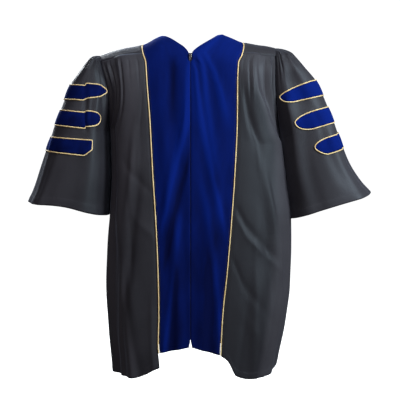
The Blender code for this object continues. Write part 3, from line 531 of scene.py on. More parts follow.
def satinLook():
    look = Look("gold_satin")
    cloth, place = look.clothPlace(), look.objectPlace()
    phase = (look.axis(cloth, "X") * 0.9 + look.axis(cloth, "Y")) * (2 * math.pi / satin["wrap"])
    rib = look.node("ShaderNodeMath", {"operation": "SINE"}, {0: phase}) * 0.5 + 0.5
    worn = look.ramp(look.noise(place, 60.0, 3.0), 0.25, 0.75)
    return look.finish({
        "Base Color": look.blend(worn * 0.7 + rib * 0.3, satin["shade"], satin["shine"]),
        "Roughness": worn * 0.12 + 0.34,
        "Sheen Weight": 0.15,
        "Normal": look.bump(rib, 0.5, 0.0002),
    })


def tapeLook():
    look = Look("zip_tape_weave")
    cloth = look.clothPlace()
    weave = look.node("ShaderNodeMath", {"operation": "SINE"}, {0: look.axis(cloth, "Y") * 6000.0}) * 0.5 + 0.5
    lint = look.noise(look.objectPlace(), 700.0, 2.0)
    return look.finish({
        "Base Color": look.blend(weave * 0.6 + lint * 0.4, (0.004, 0.006, 0.018), (0.014, 0.018, 0.045)),
        "Roughness": lint * 0.1 + 0.78,
        "Normal": look.bump(weave, 0.4, 0.0002),
    })


def metalLook():
    look = Look("zip_gunmetal")
    place = look.objectPlace()
    rubbed = look.ramp(look.noise(place, 420.0, 4.0), 0.3, 0.7)
    return look.finish({
        "Base Color": look.blend(rubbed, (0.10, 0.095, 0.095), (0.24, 0.225, 0.215)),
        "Metallic": 1.0,
        "Roughness": rubbed * 0.18 + 0.24,
        "Normal": look.bump(look.noise(place, 2600.0, 2.0), 0.12, 0.0001),
    })


def threadLook():
    look = Look("black_thread")
    twist = look.noise(look.objectPlace(), 1500.0, 2.0)
    return look.finish({
        "Base Color": look.blend(twist, (0.010, 0.010, 0.013), (0.050, 0.050, 0.060)),
        "Roughness": twist * 0.1 + 0.50,
    })


cloth = woolLook()
velvet = velvetLook()
gold = satinLook()
tape = tapeLook()
metal = metalLook()
thread = threadLook()
say("materials")

# The two fronts

fronts = {
    "columns": 84,
    "rows": 190,
    "crowd": 0.55,
    "seamDip": 0.0016,       # how deep a panel sinks into its seam, and over which share
    "dipShare": 0.022,
    "hemDepth": 0.020,
    "hemThick": 0.0007,
    "ripple": 0.0011,        # small unevenness, and its size
    "rippleSize": 0.050,
    "tuckUp": 0.0065,        # how far the top edge reaches up under the yoke, and how far inside it lies
    "tuckIn": 0.0021,
}
frontDrape = {    # the ridge that each front hangs in: where it runs between piping and side, and its height
    -1: (Track(((0.0, 0.42), (0.20, 0.45), (0.45, 0.47), (0.62, 0.38), (0.80, 0.30), (1.0, 0.26))),
         Track(((0.0, 0.003), (0.10, 0.011), (0.50, 0.014), (0.85, 0.010), (1.0, 0.009))), 0.13),
    1: (Track(((0.0, 0.30), (0.10, 0.36), (0.17, 0.52), (0.23, 0.58), (0.33, 0.66), (0.45, 0.72), (0.70, 0.76),
               (1.0, 0.76))),
        Track(((0.0, 0.003), (0.10, 0.014), (0.35, 0.022), (0.60, 0.018), (0.85, 0.012), (1.0, 0.009))), 0.11),
}
foldColumns = ("top", "foot", "start", "end", "half", "height")    # of every fold table
frontFolds = {
    -1: (
        (0.62, 0.62, -0.14, 1.40, 0.080, -0.007),
        (0.05, 0.62, 0.16, 0.56, 0.050, 0.0045),
        (0.00, 0.46, 0.32, 0.86, 0.058, -0.0050),
        (0.10, 0.52, 0.58, 1.40, 0.060, 0.0065),
        (0.60, 0.22, 0.60, 1.40, 0.055, -0.0055),
        (0.70, 0.80, 0.02, 0.66, 0.055, 0.005),
        (0.84, 0.88, 0.00, 0.80, 0.070, -0.006),
        (0.66, 0.74, 0.46, 1.40, 0.110, 0.011),
        (0.90, 0.92, 0.60, 1.40, 0.070, -0.007),
        (0.24, 0.32, 0.62, 1.40, 0.100, 0.010),
    ),
    1: (
        (0.74, 0.82, -0.20, 0.34, 0.070, 0.007),
        (0.02, 0.84, 0.04, 0.36, 0.060, -0.0060),
        (0.05, 0.80, 0.28, 0.78, 0.058, 0.0050),
        (0.00, 0.62, 0.40, 1.00, 0.062, -0.0060),
        (0.06, 0.34, 0.62, 1.40, 0.060, 0.0070),
        (0.56, 0.66, 0.58, 1.40, 0.060, -0.0060),
        (0.60, 0.60, 0.66, 1.40, 0.080, 0.008),
    ),
}
frontCreases = {
    -1: (
        (0.12, 0.12, -0.20, 0.14, 0.024, -0.0014),
        (0.28, 0.27, -0.20, 0.12, 0.022, -0.0014),
        (0.44, 0.44, -0.20, 0.26, 0.026, -0.0046),
        (0.50, 0.50, -0.20, 0.20, 0.030, 0.0030),
        (0.58, 0.58, -0.20, 0.14, 0.020, -0.0024),
        (0.72, 0.72, -0.20, 0.22, 0.026, -0.0048),
        (0.79, 0.79, -0.20, 0.18, 0.028, 0.0030),
        (0.89, 0.92, -0.20, 0.24, 0.026, -0.0044),
        (0.06, 0.30, 0.08, 0.30, 0.026, -0.0012),
        (0.03, 0.42, 0.24, 0.40, 0.024, 0.0012),
        (0.36, 0.22, 0.38, 0.78, 0.040, -0.0018),
        (1.30, -1.60, 0.28, 0.50, 0.080, -0.0020),
        (1.55, -1.10, 0.46, 0.66, 0.070, 0.0018),
        (0.52, 0.66, 0.50, 1.20, 0.044, 0.0024),
        (0.30, 0.44, 0.66, 1.30, 0.040, -0.0024),
        (0.10, 0.06, 0.72, 1.30, 0.034, 0.0022),
    ),
    1: (
        (0.08, 0.07, -0.20, 0.10, 0.030, -0.0018),
        (-1.65, 1.69, 0.44, 0.68, 0.090, -0.0030),
        (-2.10, 1.84, 0.50, 0.70, 0.070, 0.0022),
        (-1.90, 0.95, 0.60, 0.86, 0.080, -0.0022),
        (-1.60, 0.62, 0.76, 0.98, 0.090, 0.0016),
        (0.27, 0.34, -0.20, 0.16, 0.028, 0.0034),
        (0.20, 0.30, -0.20, 0.18, 0.026, -0.0036),
        (0.44, 0.46, -0.20, 0.11, 0.022, -0.0016),
        (0.62, 0.64, -0.20, 0.20, 0.026, -0.0036),
        (0.77, 0.78, -0.20, 0.28, 0.030, 0.0040),
        (0.88, 0.90, -0.20, 0.20, 0.024, -0.0040),
        (0.94, 0.95, -0.20, 0.12, 0.018, 0.0026),
        (0.02, 0.30, 0.03, 0.16, 0.024, -0.0018),
        (0.10, 0.52, 0.16, 0.40, 0.028, 0.0016),
        (0.24, 0.66, 0.34, 0.86, 0.036, -0.0020),
        (0.12, 0.30, 0.52, 0.96, 0.034, 0.0016),
        (0.58, 0.46, 0.66, 1.30, 0.044, 0.0026),
        (0.30, 0.16, 0.74, 1.30, 0.036, -0.0022),
        (0.86, 0.84, 0.60, 1.30, 0.040, -0.0024),
    ),
}


def seamDip(distance, size):    # a panel rolls into its seam at this share from it
    return -fronts["seamDip"] * math.exp(-(distance / size) ** 2)


def drapeOut(side, u, v):
    line, height, outer = frontDrape[side]
    centre = line(v) + 0.012 * drift(v * 5.0, 3.0, side * 2.0)
    if u < centre:
        return height(v) * ease(0.5 + (u / centre) * 0.5) * 2 - height(v)
    return height(v) * math.exp(-((u - centre) / outer) ** 2)


def frontOut(side, u, v):
    fade = ease(u / 0.14) * ease((1 - u) / 0.12)
    if side < 0:
        fade = max(fade, ease((v - 0.972) / 0.025) * ease((1 - u) / 0.12))
    out = foldOut(frontFolds[side], u, v, 1.0) * fade * (0.1 + 0.9 * ease(v / 0.06))
    out += drapeOut(side, u, v) * ease((1 - u) / 0.12)
    crease = foldOut(frontCreases[side], u, v, 2.0, 0.10, True) * ease(u / 0.05) * ease((1 - u) / 0.06)
    out += crease * ease(v / 0.03)
    out += seamDip(min(u, 1 - u), fronts["dipShare"])
    return out


def frontPoint(side, u, v, lift=0.0):
    edge = mix(sleeveHeights[side][0][0], hemLine[side](1.0), v)
    foot = hemLine[side](mix(hemLine[side].at[0], 1.0, u))
    height = mix(yokeSeamHeight(side, u), foot, v)
    inner = coverOf(side, pipingLine[side](height) + cut["piping"] + cut["seam"], height)
    cover = mix(inner, armholeCover(side, edge), u)
    out = frontOut(side, u, v) + lift
    ripple = drift(side * cover * 7.0, height / fronts["rippleSize"] * 0.55, 4.1)
    out += fronts["ripple"] * ripple * ease(min(u, 1 - u) / 0.08)
    toHem = (1 - v) * (yokeSeamHeight(side, u) - foot)
    out += fronts["hemThick"] * ease((fronts["hemDepth"] + 0.0015 - toHem) / 0.003)
    point = bodyPoint(side, cover, height, "front", out)
    if v < 0.05:    # the top edge is the yoke seam itself
        start = yokeSeamHeight(side, u)
        innerTop = coverOf(side, pipingLine[side](start) + cut["piping"] + cut["seam"], start)
        plain = bodyPoint(side, mix(innerTop, cut["armholeCover"], u), start, "front")
        point += (yokeSeamPoint(side, u) - plain - Vector((0, 0, cut["seam"]))) * (1 - ease(v / 0.05))
        under = yokeSeamPoint(side, u, -fronts["tuckIn"]) - yokeSeamPoint(side, u)
        point += (under + Vector((0, 0, fronts["tuckUp"]))) * (1 - ease(v / 0.012))
    if edge > sleeveHeights[side][cut["armpitRow"]][0]:
        point.x -= side * cut["armSeam"] * ease((u - 0.9) / 0.1)
    else:
        point.y -= cut["seam"] / 2 * ease((u - 0.9) / 0.1)
    return point


frontLightPainting = {    # painted light on the fronts' worsted: a painted highlight along the ridge, painted shade beside the piping
    -1: {"ridge": 1.30, "beside": 0.55, "width": 0.22,
         "edge": Track(((0.0, 0.08), (0.20, 0.14), (0.35, 0.20), (0.45, 0.32), (0.60, 0.40), (0.80, 0.30), (1.0, 0.25)))},
    1: {"ridge": 1.00, "beside": 1.30, "width": 0.24,
        "edge": Track(((0.0, 0.14), (0.10, 0.31), (0.20, 0.48), (0.45, 0.45), (0.70, 0.43), (1.0, 0.40)))},
}


# painted light: a painted highlight along the front's ridge and painted shade beside its piping, stored as the nap
# attribute
def frontPaintedLight(side, u, v):
    painting = frontLightPainting[side]
    off = u - painting["edge"](v)
    ridge = math.exp(-((off - painting["width"]) / painting["width"]) ** 2)
    beside = ease(0.5 - off / 0.14) * ease((v - 0.03) / 0.12)
    return painting["ridge"] * ridge - painting["beside"] * beside


def makeFront(side):
    across, rows = spaced(fronts["columns"], fronts["crowd"]), spaced(fronts["rows"])
    grid = [[frontPoint(side, u, v) for u in across] for v in rows]
    nap = [[frontPaintedLight(side, u, v) for u in across] for v in rows]
    name = f"front_{sideName[side]}_cloth"
    piece = gridMesh(name, grid, cloth, cut["cloth"], flip=side < 0, nap=nap)
    return wear(piece, grid, [f"front_{sideName[side]}"])


# The yoke: one band from a front yoke seam over the shoulder, across the back and down to the other one

yokeForm = {
    "columns": 34,
    "frontRows": 22,
    "backRows": 66,
    "dipShare": 0.020,
    "ripple": 0.0007,
}
neckShares = (0.0, 0.03, 0.10, 0.20, 0.31, 0.43, 0.55, 0.67, 0.78, 0.89, 1.0)
yokeBackRow = 2
yokeCorner = neckShares[3 + yokeBackRow]        # where on the neck's path the yoke's outer edge leaves the armhole


def neckEdges(side, share):    # cover and reach of the neck band's inner and outer edge
    outer = neckBack["outerAcross"](share) * pipingLine[side](0.0)
    return ((coverOf(side, neckBack["innerAcross"](share), 0.0), reachOf(neckBack["innerDrop"](share), "back")),
            (coverOf(side, outer, 0.0), reachOf(neckBack["outerDrop"](share), "back")))


def yokeTargets(side):    # cover and reach of the yoke's outer edge at each of neckShares
    found = [(cut["armholeCover"], onLine), (cut["armholeCover"], cut["topReach"] / 2), (cut["armholeCover"], cut["topReach"])]
    for row in range(yokeBackRow + 1):
        height = sleeveHeights[side][row][0]
        cover = armholeCover(side, height)
        found.append((cover, reachOf(lineOver(side, cover) - height, "back")))
    corner, steps = found[-1][0], len(neckShares) - len(found)
    for k in range(1, steps + 1):
        share = 1 - k / steps
        found.append((corner * share, backSeamReach(side, corner * share, share)))
    return found


def backSeamReach(side, cover, share):
    level = mix(sleeveHeights[-1][yokeBackRow][0], sleeveHeights[1][yokeBackRow][0], 0.5 + side * share / 2)
    return reachOf(lineOver(side, cover) - level, "back")


def neckOutline(side, share, aside=0.0, out=0.0):    # the piping's line behind the neck, moved away from the neck
    step = 0.002
    _, (cover, reach) = neckEdges(side, share)
    point = reachPoint(side, cover, max(reach, onLine), out)
    if aside:
        a = reachPoint(side, *[max(x, onLine) for x in neckEdges(side, max(share - step, 0.0))[1]])
        b = reachPoint(side, *[max(x, onLine) for x in neckEdges(side, min(share + step, 1.0))[1]])
        way = b - a
        outward = Vector((-way.y, way.x, 0)).normalized()
        if outward.dot(Vector((point.x, point.y, 0))) < 0:
            outward = -outward
        point += outward * aside
    return point


def yokeGrid(side):
    across = spaced(yokeForm["columns"], 0.5)
    seamReach = reachOf(armTop(side) - sleeveHeights[side][0][0], "front")
    top, seam = shoulderLine(side * pipingLine[side](0.0)), yokeSeamHeight(side, 0.0)
    targets = yokeTargets(side)
    grid = []
    for w in spaced(yokeForm["frontRows"])[:-1]:    # from the front seam up to the shoulder line
        height = mix(seam, top, 1 - (1 - w) ** 2)
        near = (coverOf(side, pipingLine[side](height) + cut["piping"] + cut["seam"], height),
                -reachOf(lineOver(side, coverOf(side, pipingLine[side](height), height)) - height, "front"))
        if w == 0:
            grid.append([yokeSeamPoint(side, u, yokeOut(side, u, w)) for u in across])
            continue
        far = (cut["armholeCover"], -seamReach * (1 - w))
        grid.append([reachPoint(side, mix(near[0], far[0], u), min(mix(near[1], far[1], u), -onLine),
                                yokeOut(side, u, w)) for u in across])
    for q in spaced(yokeForm["backRows"]):
        k = neckPlace(q)
        far = (along([t[0] for t in targets], k), along([t[1] for t in targets], k))
        share = along(neckShares, k)
        near = neckEdges(side, share)[1]
        start = neckOutline(side, share, cut["piping"] + cut["seam"])
        line = []
        for u in across:
            cover, reach = mix(near[0], far[0], u), max(mix(near[1], far[1], u), onLine)
            point = reachPoint(side, cover, reach, yokeOut(side, u, 1 + q))
            if u < 0.12:
                point = point.lerp(start + (point - reachPoint(side, *near)), 1 - ease(u / 0.12))
            line.append(point)
        grid.append(line)
    for r, line in enumerate(grid):
        onArmhole = r < yokeForm["frontRows"] + yokeForm["backRows"] * yokeTurn()
        if onArmhole:
            line[-1] = line[-1] + Vector((-side * cut["armSeam"], 0, 0))
    return grid


def neckPlace(q):    # rows are shared evenly between the neck's shares
    return q * (len(neckShares) - 1)


def yokeTurn():    # share of the back rows along the armhole
    return neckShares.index(yokeCorner) / (len(neckShares) - 1)


def yokeOut(side, u, w):    # w is 0 at the front seam, 1 on the shoulder line and 2 at the centre back
    out = yokeForm["ripple"] * drift(u * 4.0, w * 3.0, side * 5.0)
    out += seamDip(min(u, 1 - u), yokeForm["dipShare"])
    if w < 0.2:
        out += 0.0011 * ease((0.2 - w) / 0.03) * ease(w / 0.02 + 0.4)    # the seam's turned edge lies on the front
    return out


def makeYoke():
    grid = yokeGrid(-1) + yokeGrid(1)[-2::-1]
    piece = gridMesh("yoke_cloth", [line[::-1] for line in grid], cloth, cut["cloth"])
    return wear(piece, grid, ["yoke"])


# The back, gathered into the yoke

backForm = {
    "columns": 240,
    "rows": 170,
    "flutes": 10,
    "fluteTop": 0.0025,
    "fluteFoot": 0.0110,
    "gathers": 46,
    "gatherHeight": 0.0030,
    "gatherLength": 0.16,      # share of the way down that the small gathers reach
    "under": 0.0020,           # how far the side edges lie inside the fronts', and how far they reach past them
    "overlap": 0.0030,
}
backCreases = (
    (0.16, 0.13, 0.02, 0.55, 0.012, 0.0035),
    (0.24, 0.27, 0.10, 1.30, 0.014, -0.0040),
    (0.33, 0.31, 0.00, 0.80, 0.010, 0.0034),
    (0.41, 0.43, 0.25, 1.30, 0.013, -0.0036),
    (0.47, 0.46, 0.00, 0.45, 0.009, 0.0036),
    (0.55, 0.57, 0.12, 0.90, 0.012, 0.0038),
    (0.62, 0.60, 0.30, 1.30, 0.014, -0.0040),
    (0.70, 0.73, 0.00, 0.65, 0.010, 0.0034),
    (0.78, 0.80, 0.20, 1.30, 0.014, -0.0036),
    (0.87, 0.88, 0.02, 0.50, 0.012, 0.0030),
)


def backPoint(share, down, lift=0.0):
    side = -1 if share < 0.5 else 1
    offCentre = abs(share * 2 - 1)
    top = [sleeveHeights[s][yokeBackRow][0] for s in (-1, 1)]
    foot = [hemLine[s](1.0) for s in (-1, 1)]
    level = mix(mix(*top, share), mix(*foot, share), down)
    hem = hemLine[side](2 - offCentre) - mix(*foot, share)
    armpit = [sleeveHeights[s][cut["armpitRow"]][0] for s in (-1, 1)]
    armpitDown = (mix(*top, share) - mix(*armpit, share)) / (mix(*top, share) - mix(*foot, share))
    height = level + hem * max(down - armpitDown, 0.0) / (1 - armpitDown)
    edge = mix(top[side > 0], foot[side > 0], down)
    cover = offCentre * armholeCover(side, edge)
    sway = 0.010 * drift(down * 2.6, share * 5.0, 3.0) * ease(down / 0.3)
    phase = (share + sway - 0.5) * 2 * math.pi
    swell = mix(backForm["fluteTop"], backForm["fluteFoot"], down ** 1.3) * ease(down / 0.10)
    uneven = 1 + 0.35 * drift(share * 9.0, down * 1.2, 8.0)
    out = math.cos(phase * backForm["flutes"]) * swell * uneven
    pinch = backForm["gatherLength"] * (1 + 0.7 * drift(share * 21.0, 0.0, 6.0))
    small = math.cos(phase * backForm["gathers"] + 1.4 * drift(share * 8.0, 0.0, 2.0))
    out += backForm["gatherHeight"] * small * ease((down - 0.002) / 0.014) * math.exp(-(down / pinch) ** 1.4)
    out += foldOut(backCreases, share, down, 5.0, 0.12, True) * ease(down / 0.03)
    out *= ease((1 - offCentre) / 0.12)
    tuck = 1 - ease(down / 0.010)
    out += seamDip((1 - offCentre) * 2, 0.024) - fronts["tuckIn"] * tuck
    out += fronts["ripple"] * drift(share * 11.0, down * 12.0, 9.0)
    toHem = (1 - down) * 0.9
    out += fronts["hemThick"] * ease((fronts["hemDepth"] + 0.0015 - toHem) / 0.003) + lift
    under = ease((armpit[side > 0] - edge) / 0.03)
    out -= backForm["under"] * under * ease((offCentre - 0.985) / 0.012)
    point = bodyPoint(side, cover, height + fronts["tuckUp"] * tuck, "back", out)
    point.x -= side * cut["armSeam"] * ease((offCentre - 0.97) / 0.03) * (1 - under)
    point.y -= backForm["overlap"] * ease((offCentre - 0.985) / 0.015) * under
    return point


def makeBack():
    across = spaced(backForm["columns"], 0.25)
    grid = [[backPoint(share, down) for share in across] for down in spaced(backForm["rows"], 0.35)]
    piece = gridMesh("back_cloth", grid, cloth, cut["cloth"], flip=True)
    return wear(piece, grid, ["back_panel"])


# The sleeves

sleeveForm = {
    "columns": 150,
    "rows": 130,
    "frontTurn": math.radians(100),
    "frontTurnShare": 0.62,
    "ripple": 0.0014,
    "cuffWave": {-1: 0.012, 1: 0.003},    # how far the cuff's line rises halfway across
    "cap": 0.004,            # how far the cap puffs out over the shoulder
    "gathers": 13,
    "gatherHeight": 0.0030,
    "aside": 0.0012,         # between the sleeve and the body's side
}
sleeveFolds = {
    -1: (
        (-0.64, -0.70, 0.10, 1.50, 0.120, 0.004),
        (-0.86, -0.88, 0.10, 1.50, 0.070, -0.006),
        (-0.34, -0.40, 0.45, 1.50, 0.110, -0.005),
        (-0.14, -0.16, 0.50, 1.50, 0.080, -0.006),
        (0.30, 0.38, 0.45, 1.50, 0.090, 0.008),
        (0.52, 0.62, 0.02, 1.20, 0.085, -0.008),
        (0.10, 0.14, 0.55, 1.50, 0.070, 0.006),
    ),
    1: (
        (-0.52, -0.66, 0.02, 1.20, 0.085, -0.008),
        (-0.34, -0.40, 0.45, 1.50, 0.080, 0.008),
        (-0.16, -0.20, 0.50, 1.50, 0.080, -0.007),
        (0.30, 0.38, 0.45, 1.50, 0.090, 0.008),
        (0.52, 0.62, 0.02, 1.20, 0.085, -0.008),
        (0.10, 0.14, 0.55, 1.50, 0.070, 0.006),
    ),
}
sleeveCreases = {
    -1: (
        (-0.72, -0.66, 0.20, 1.30, 0.050, 0.0040),
        (-0.50, -0.36, 0.52, 1.30, 0.060, 0.0036),
        (-0.24, -0.30, 0.62, 1.30, 0.050, -0.0030),
        (-0.05, -0.02, 0.55, 1.30, 0.050, 0.0028),
        (0.22, 0.18, 0.48, 1.30, 0.050, -0.0032),
        (0.44, 0.50, 0.30, 1.30, 0.055, 0.0036),
        (0.62, 0.66, 0.05, 0.50, 0.045, -0.0032),
    ),
    1: (
        (-0.74, -0.70, 0.22, 1.30, 0.050, 0.0040),
        (-0.52, -0.40, 0.30, 1.00, 0.060, -0.0044),
        (-0.34, -0.22, 0.38, 1.30, 0.060, 0.0046),
        (-0.20, -0.06, 0.55, 1.30, 0.050, -0.0030),
        (0.20, 0.16, 0.50, 1.30, 0.050, -0.0032),
        (0.46, 0.50, 0.28, 1.30, 0.055, 0.0036),
        (0.62, 0.66, 0.06, 0.55, 0.045, -0.0032),
    ),
}
sleeveTuck = {               # the sharp upright fold across the left sleeve's upper bars
    "side": -1,
    "across": 0.330,
    "rows": (1.6, 5.6),
    "half": 0.016,
    "depth": 0.0042,
    "slip": (0.150, 0.130, 0.0),     # how far up the bars shift beside it, in rows
}
lastSleeveRow = len(sleeveReach[1]) - 1
sleeveTracks = {
    side: {
        "inside": Track([(k, heights[0]) for k, heights in enumerate(sleeveHeights[side])]),
        "outside": Track([(k, heights[1]) for k, heights in enumerate(sleeveHeights[side])]),
        "reach": Track(list(enumerate(sleeveReach[side]))),
        "depth": Track(list(enumerate(sleeveDepth))),
        "near": Track([(k, bodyForm[side](sleeveHeights[side][k][0]) + sleeveForm["aside"])
                       for k in range(cut["armpitRow"], lastSleeveRow + 1)]),
    } for side in (-1, 1)
}


def ringShare(value):
    return math.copysign(abs(value) ** (2 / cut["sleeveRoundness"]), value)


def sleeveRing(side, row):    # what a row's ring is drawn from
    track = sleeveTracks[side]
    inside, outside, reach, depth = (track[key](row) for key in ("inside", "outside", "reach", "depth"))
    if row < cut["armpitRow"]:
        cover = armholeCover(side, inside)
        front, back = (bodyPoint(side, cover, inside, face) for face in ("front", "back"))
        near, middle, half = abs(front.x) + cut["armSeam"], (front.y + back.y) / 2, (back.y - front.y) / 2
        depth = max(depth, half * 1.002)
        turn = math.pi - math.asin((half / depth) ** (cut["sleeveRoundness"] / 2))
    else:
        near, middle, turn = track["near"](row), 0.0, math.pi
    radius = (reach - near) / (1 - ringShare(math.cos(turn)))
    even = min(sleeveForm["frontTurn"], turn * 0.85)
    wave = sleeveForm["cuffWave"][side] * ease((row / lastSleeveRow - 0.75) / 0.25)
    return inside, outside, reach, depth, near, middle, turn, radius, even, wave


def ringPoint(side, ring, place, out):
    inside, outside, reach, depth, near, middle, turn, radius, even, wave = ring
    share = sleeveForm["frontTurnShare"]
    if abs(place) < share:
        angle = even * place / share
    else:
        angle = math.copysign(mix(even, turn, (abs(place) - share) / (1 - share)), place)
    x = reach - radius + (radius + out) * ringShare(math.cos(angle))
    y = middle + (depth + out) * ringShare(math.sin(angle))
    share = (x - near) / (reach - near)
    return Vector((side * x, y, mix(inside, outside, share) + wave * math.sin(math.pi * min(max(share, 0), 1)) ** 2))


def placeAcross(side, row, reach):    # the place on a row where its front half has this distance across
    ring = sleeveRing(side, row)
    low, high = -0.95, 0.0
    for _ in range(24):
        middle = (low + high) / 2
        if abs(ringPoint(side, ring, middle, 0.0).x) < reach:
            low = middle
        else:
            high = middle
    return low


tuckLine = Track([(row, placeAcross(sleeveTuck["side"], row, sleeveTuck["across"])) for row in range(1, 8)])


def sleeveOut(side, place, down):
    hold = ease((1 - abs(place)) / 0.25) * ease(down / 0.10)
    out = foldOut(sleeveFolds[side], place, down, 11.0 + side) * hold
    out += foldOut(sleeveCreases[side], place, down, 12.0, 0.14) * ease((1 - abs(place)) / 0.12)
    if side == sleeveTuck["side"]:
        row, (first, last) = down * lastSleeveRow, sleeveTuck["rows"]
        off = (place - tuckLine(row)) / sleeveTuck["half"]
        out -= sleeveTuck["depth"] * math.exp(-off * off) * ease(row - first) * ease(last - row)
        out += sleeveTuck["depth"] * 0.6 * math.exp(-(off + 2) ** 2) * ease(row - first) * ease(last - row)
    gather = math.cos(place * math.pi * sleeveForm["gathers"] + 1.2 * drift(place * 3.0, side * 2.0))
    fan = ease((down + 0.10) / 0.05) * math.exp(-((down + 0.05) / 0.13) ** 2)
    out += sleeveForm["gatherHeight"] * gather * fan * ease((1 - abs(place)) / 0.2)
    out += sleeveForm["ripple"] * drift(place * 5.0, down * 7.0, 13.0 * side) * ease((1 - abs(place)) / 0.06)
    out += fronts["hemThick"] * ease((down - 0.955) / 0.006)
    return out


def sleevePoint(side, row, place, lift=0.0):
    down = max(row, 0.0) / lastSleeveRow
    if row >= 0:
        return ringPoint(side, sleeveRing(side, row), place, sleeveOut(side, place, down) + lift)
    reach = cut["topReach"] * place
    top = reachPoint(side, cut["armholeCover"], reach if abs(reach) > onLine else onLine)
    top.x += side * cut["armSeam"]
    first = ringPoint(side, sleeveRing(side, 0.0), place, sleeveOut(side, place, row / lastSleeveRow) + lift)
    puff = sleeveForm["cap"] * math.sin(-row * math.pi) * math.cos(place * math.pi / 2)
    return first.lerp(top, ease(-row) * 0.35 - row * 0.65) + Vector((side * puff * 0.7, 0, puff))


def sleeveFace(side, row, place, lift=0.0):    # a point with its outward direction
    step = 0.01
    point = sleevePoint(side, row, place, lift)
    across = sleevePoint(side, row, min(place + step, 1.0)) - sleevePoint(side, row, max(place - step, -1.0))
    down = sleevePoint(side, min(row + 5 * step, lastSleeveRow), place) - sleevePoint(side, row - 5 * step, place)
    normal = down.cross(across).normalized()
    middle = Vector((side * sleeveTracks[side]["reach"](max(row, 0.0)) * 0.8, 0, point.z))
    return point, normal if normal.dot(point - middle) > 0 else -normal


# painted light on the sleeves, stored as the nap attribute: painted shade on the inner front and over the cap,
# lighter outside; the left sleeve is painted darker than the right
sleeveLightPainting = {"inner": {-1: -0.75, 1: -0.20}, "cap": {-1: -0.55, 1: -0.10}, "outer": {-1: 0.10, 1: 0.35}}


def sleevePaintedLight(side, place, down):
    inner, cap = ease((abs(place) - 0.45) / 0.25), 1 - ease(down / 0.22)
    outer = (1 - inner) * (1 - cap)
    return inner * sleeveLightPainting["inner"][side] + cap * sleeveLightPainting["cap"][side] + outer * sleeveLightPainting["outer"][side]


def makeSleeve(side):
    places = [p * 2 - 1 for p in spaced(sleeveForm["columns"], 0.30)]
    rows = [mix(-1, lastSleeveRow, v) for v in spaced(sleeveForm["rows"])]
    nap = [[sleevePaintedLight(side, place, max(row, 0.0) / lastSleeveRow) for place in places] for row in rows]
    grid = []
    for row in rows:
        if row < 0:
            grid.append([sleevePoint(side, row, place) for place in places])
            continue
        ring = sleeveRing(side, row)
        line = [ringPoint(side, ring, place, sleeveOut(side, place, row / lastSleeveRow)) for place in places]
        if row > cut["armpitRow"]:
            line[-1] = line[0].copy()
        grid.append(line)
    name = f"sleeve_{sideName[side]}_cloth"
    piece = gridMesh(name, grid, cloth, cut["cloth"], flip=side < 0, closed=True, nap=nap)
    return wear(piece, grid,
                [f"sleeve_{sideName[side]}"])


# Velvet bands down the front

bandForm = {
    "columns": 34,
    "rows": 230,
    "drag": 0.0030,
    "dragAcross": 9.0,
    "dragDown": 5.0,
    "ripple": 0.0006,
    "dipShare": 0.030,
}
neckRowDrops = (0.003, 0.014, 0.036)
notchRowDrops = (0.010, 0.021, 0.040)
bandDrags = {    # soft ridges that run outwards from the zip, in the columns of a fold table
    -1: (
        (-0.43, 1.70, 0.10, 0.66, 0.10, 0.0048),
        (-0.22, 1.10, 0.04, 0.40, 0.11, 0.0022),
        (-0.75, 1.40, 0.30, 0.78, 0.09, -0.0026),
        (0.30, 0.95, 0.02, 0.34, 0.09, -0.0020),
        (-0.40, 0.85, 0.52, 1.20, 0.10, 0.0026),
        (0.30, 0.55, 0.60, 1.20, 0.12, -0.0022),
    ),
    1: (
        (0.00, 1.30, -0.04, 0.48, 0.09, 0.0040),
        (0.10, 2.60, -0.08, 0.32, 0.10, 0.0030),
        (-0.30, 1.55, 0.10, 0.66, 0.09, 0.0046),
        (-0.12, 1.40, 0.10, 0.56, 0.08, -0.0030),
        (-0.50, 1.10, 0.42, 1.20, 0.10, 0.0024),
        (0.40, 0.60, 0.55, 1.20, 0.14, -0.0022),
    ),
}


def bandInner(side, height):
    drop = shoulderLine(side * cut["neckPeak"]) - height
    if drop < neckFront[side].at[-1]:
        return neckFront[side](max(drop, 0.0))
    notch = mix(cut["notch"], cut["zipEdge"], ease((cut["notchFoot"] - height) / 0.012))
    return max(notch, mix(cut["zipEdge"], cut["slitHalf"], ease((cut["zipFoot"] - height) / 0.030)))


def bandRows(side):    # heights at the inner edge and at the piping
    outer = seamRows(side)
    top = lineOver(side, coverOf(side, bandInner(side, 1.0), 0.0))
    notch = shoulderLine(side * cut["neckPeak"]) - neckFront[side].at[-1]
    inner = [top] + [top - drop for drop in neckRowDrops] + [notch] + [notch - drop for drop in notchRowDrops]
    rest, start = len(outer) - len(inner), inner[-1]
    inner += [mix(start, cut["zipFoot"], k / (rest - 1)) for k in range(1, rest - 1)]
    return inner + [cut["zipFoot"], velvetHem[side][0]], outer


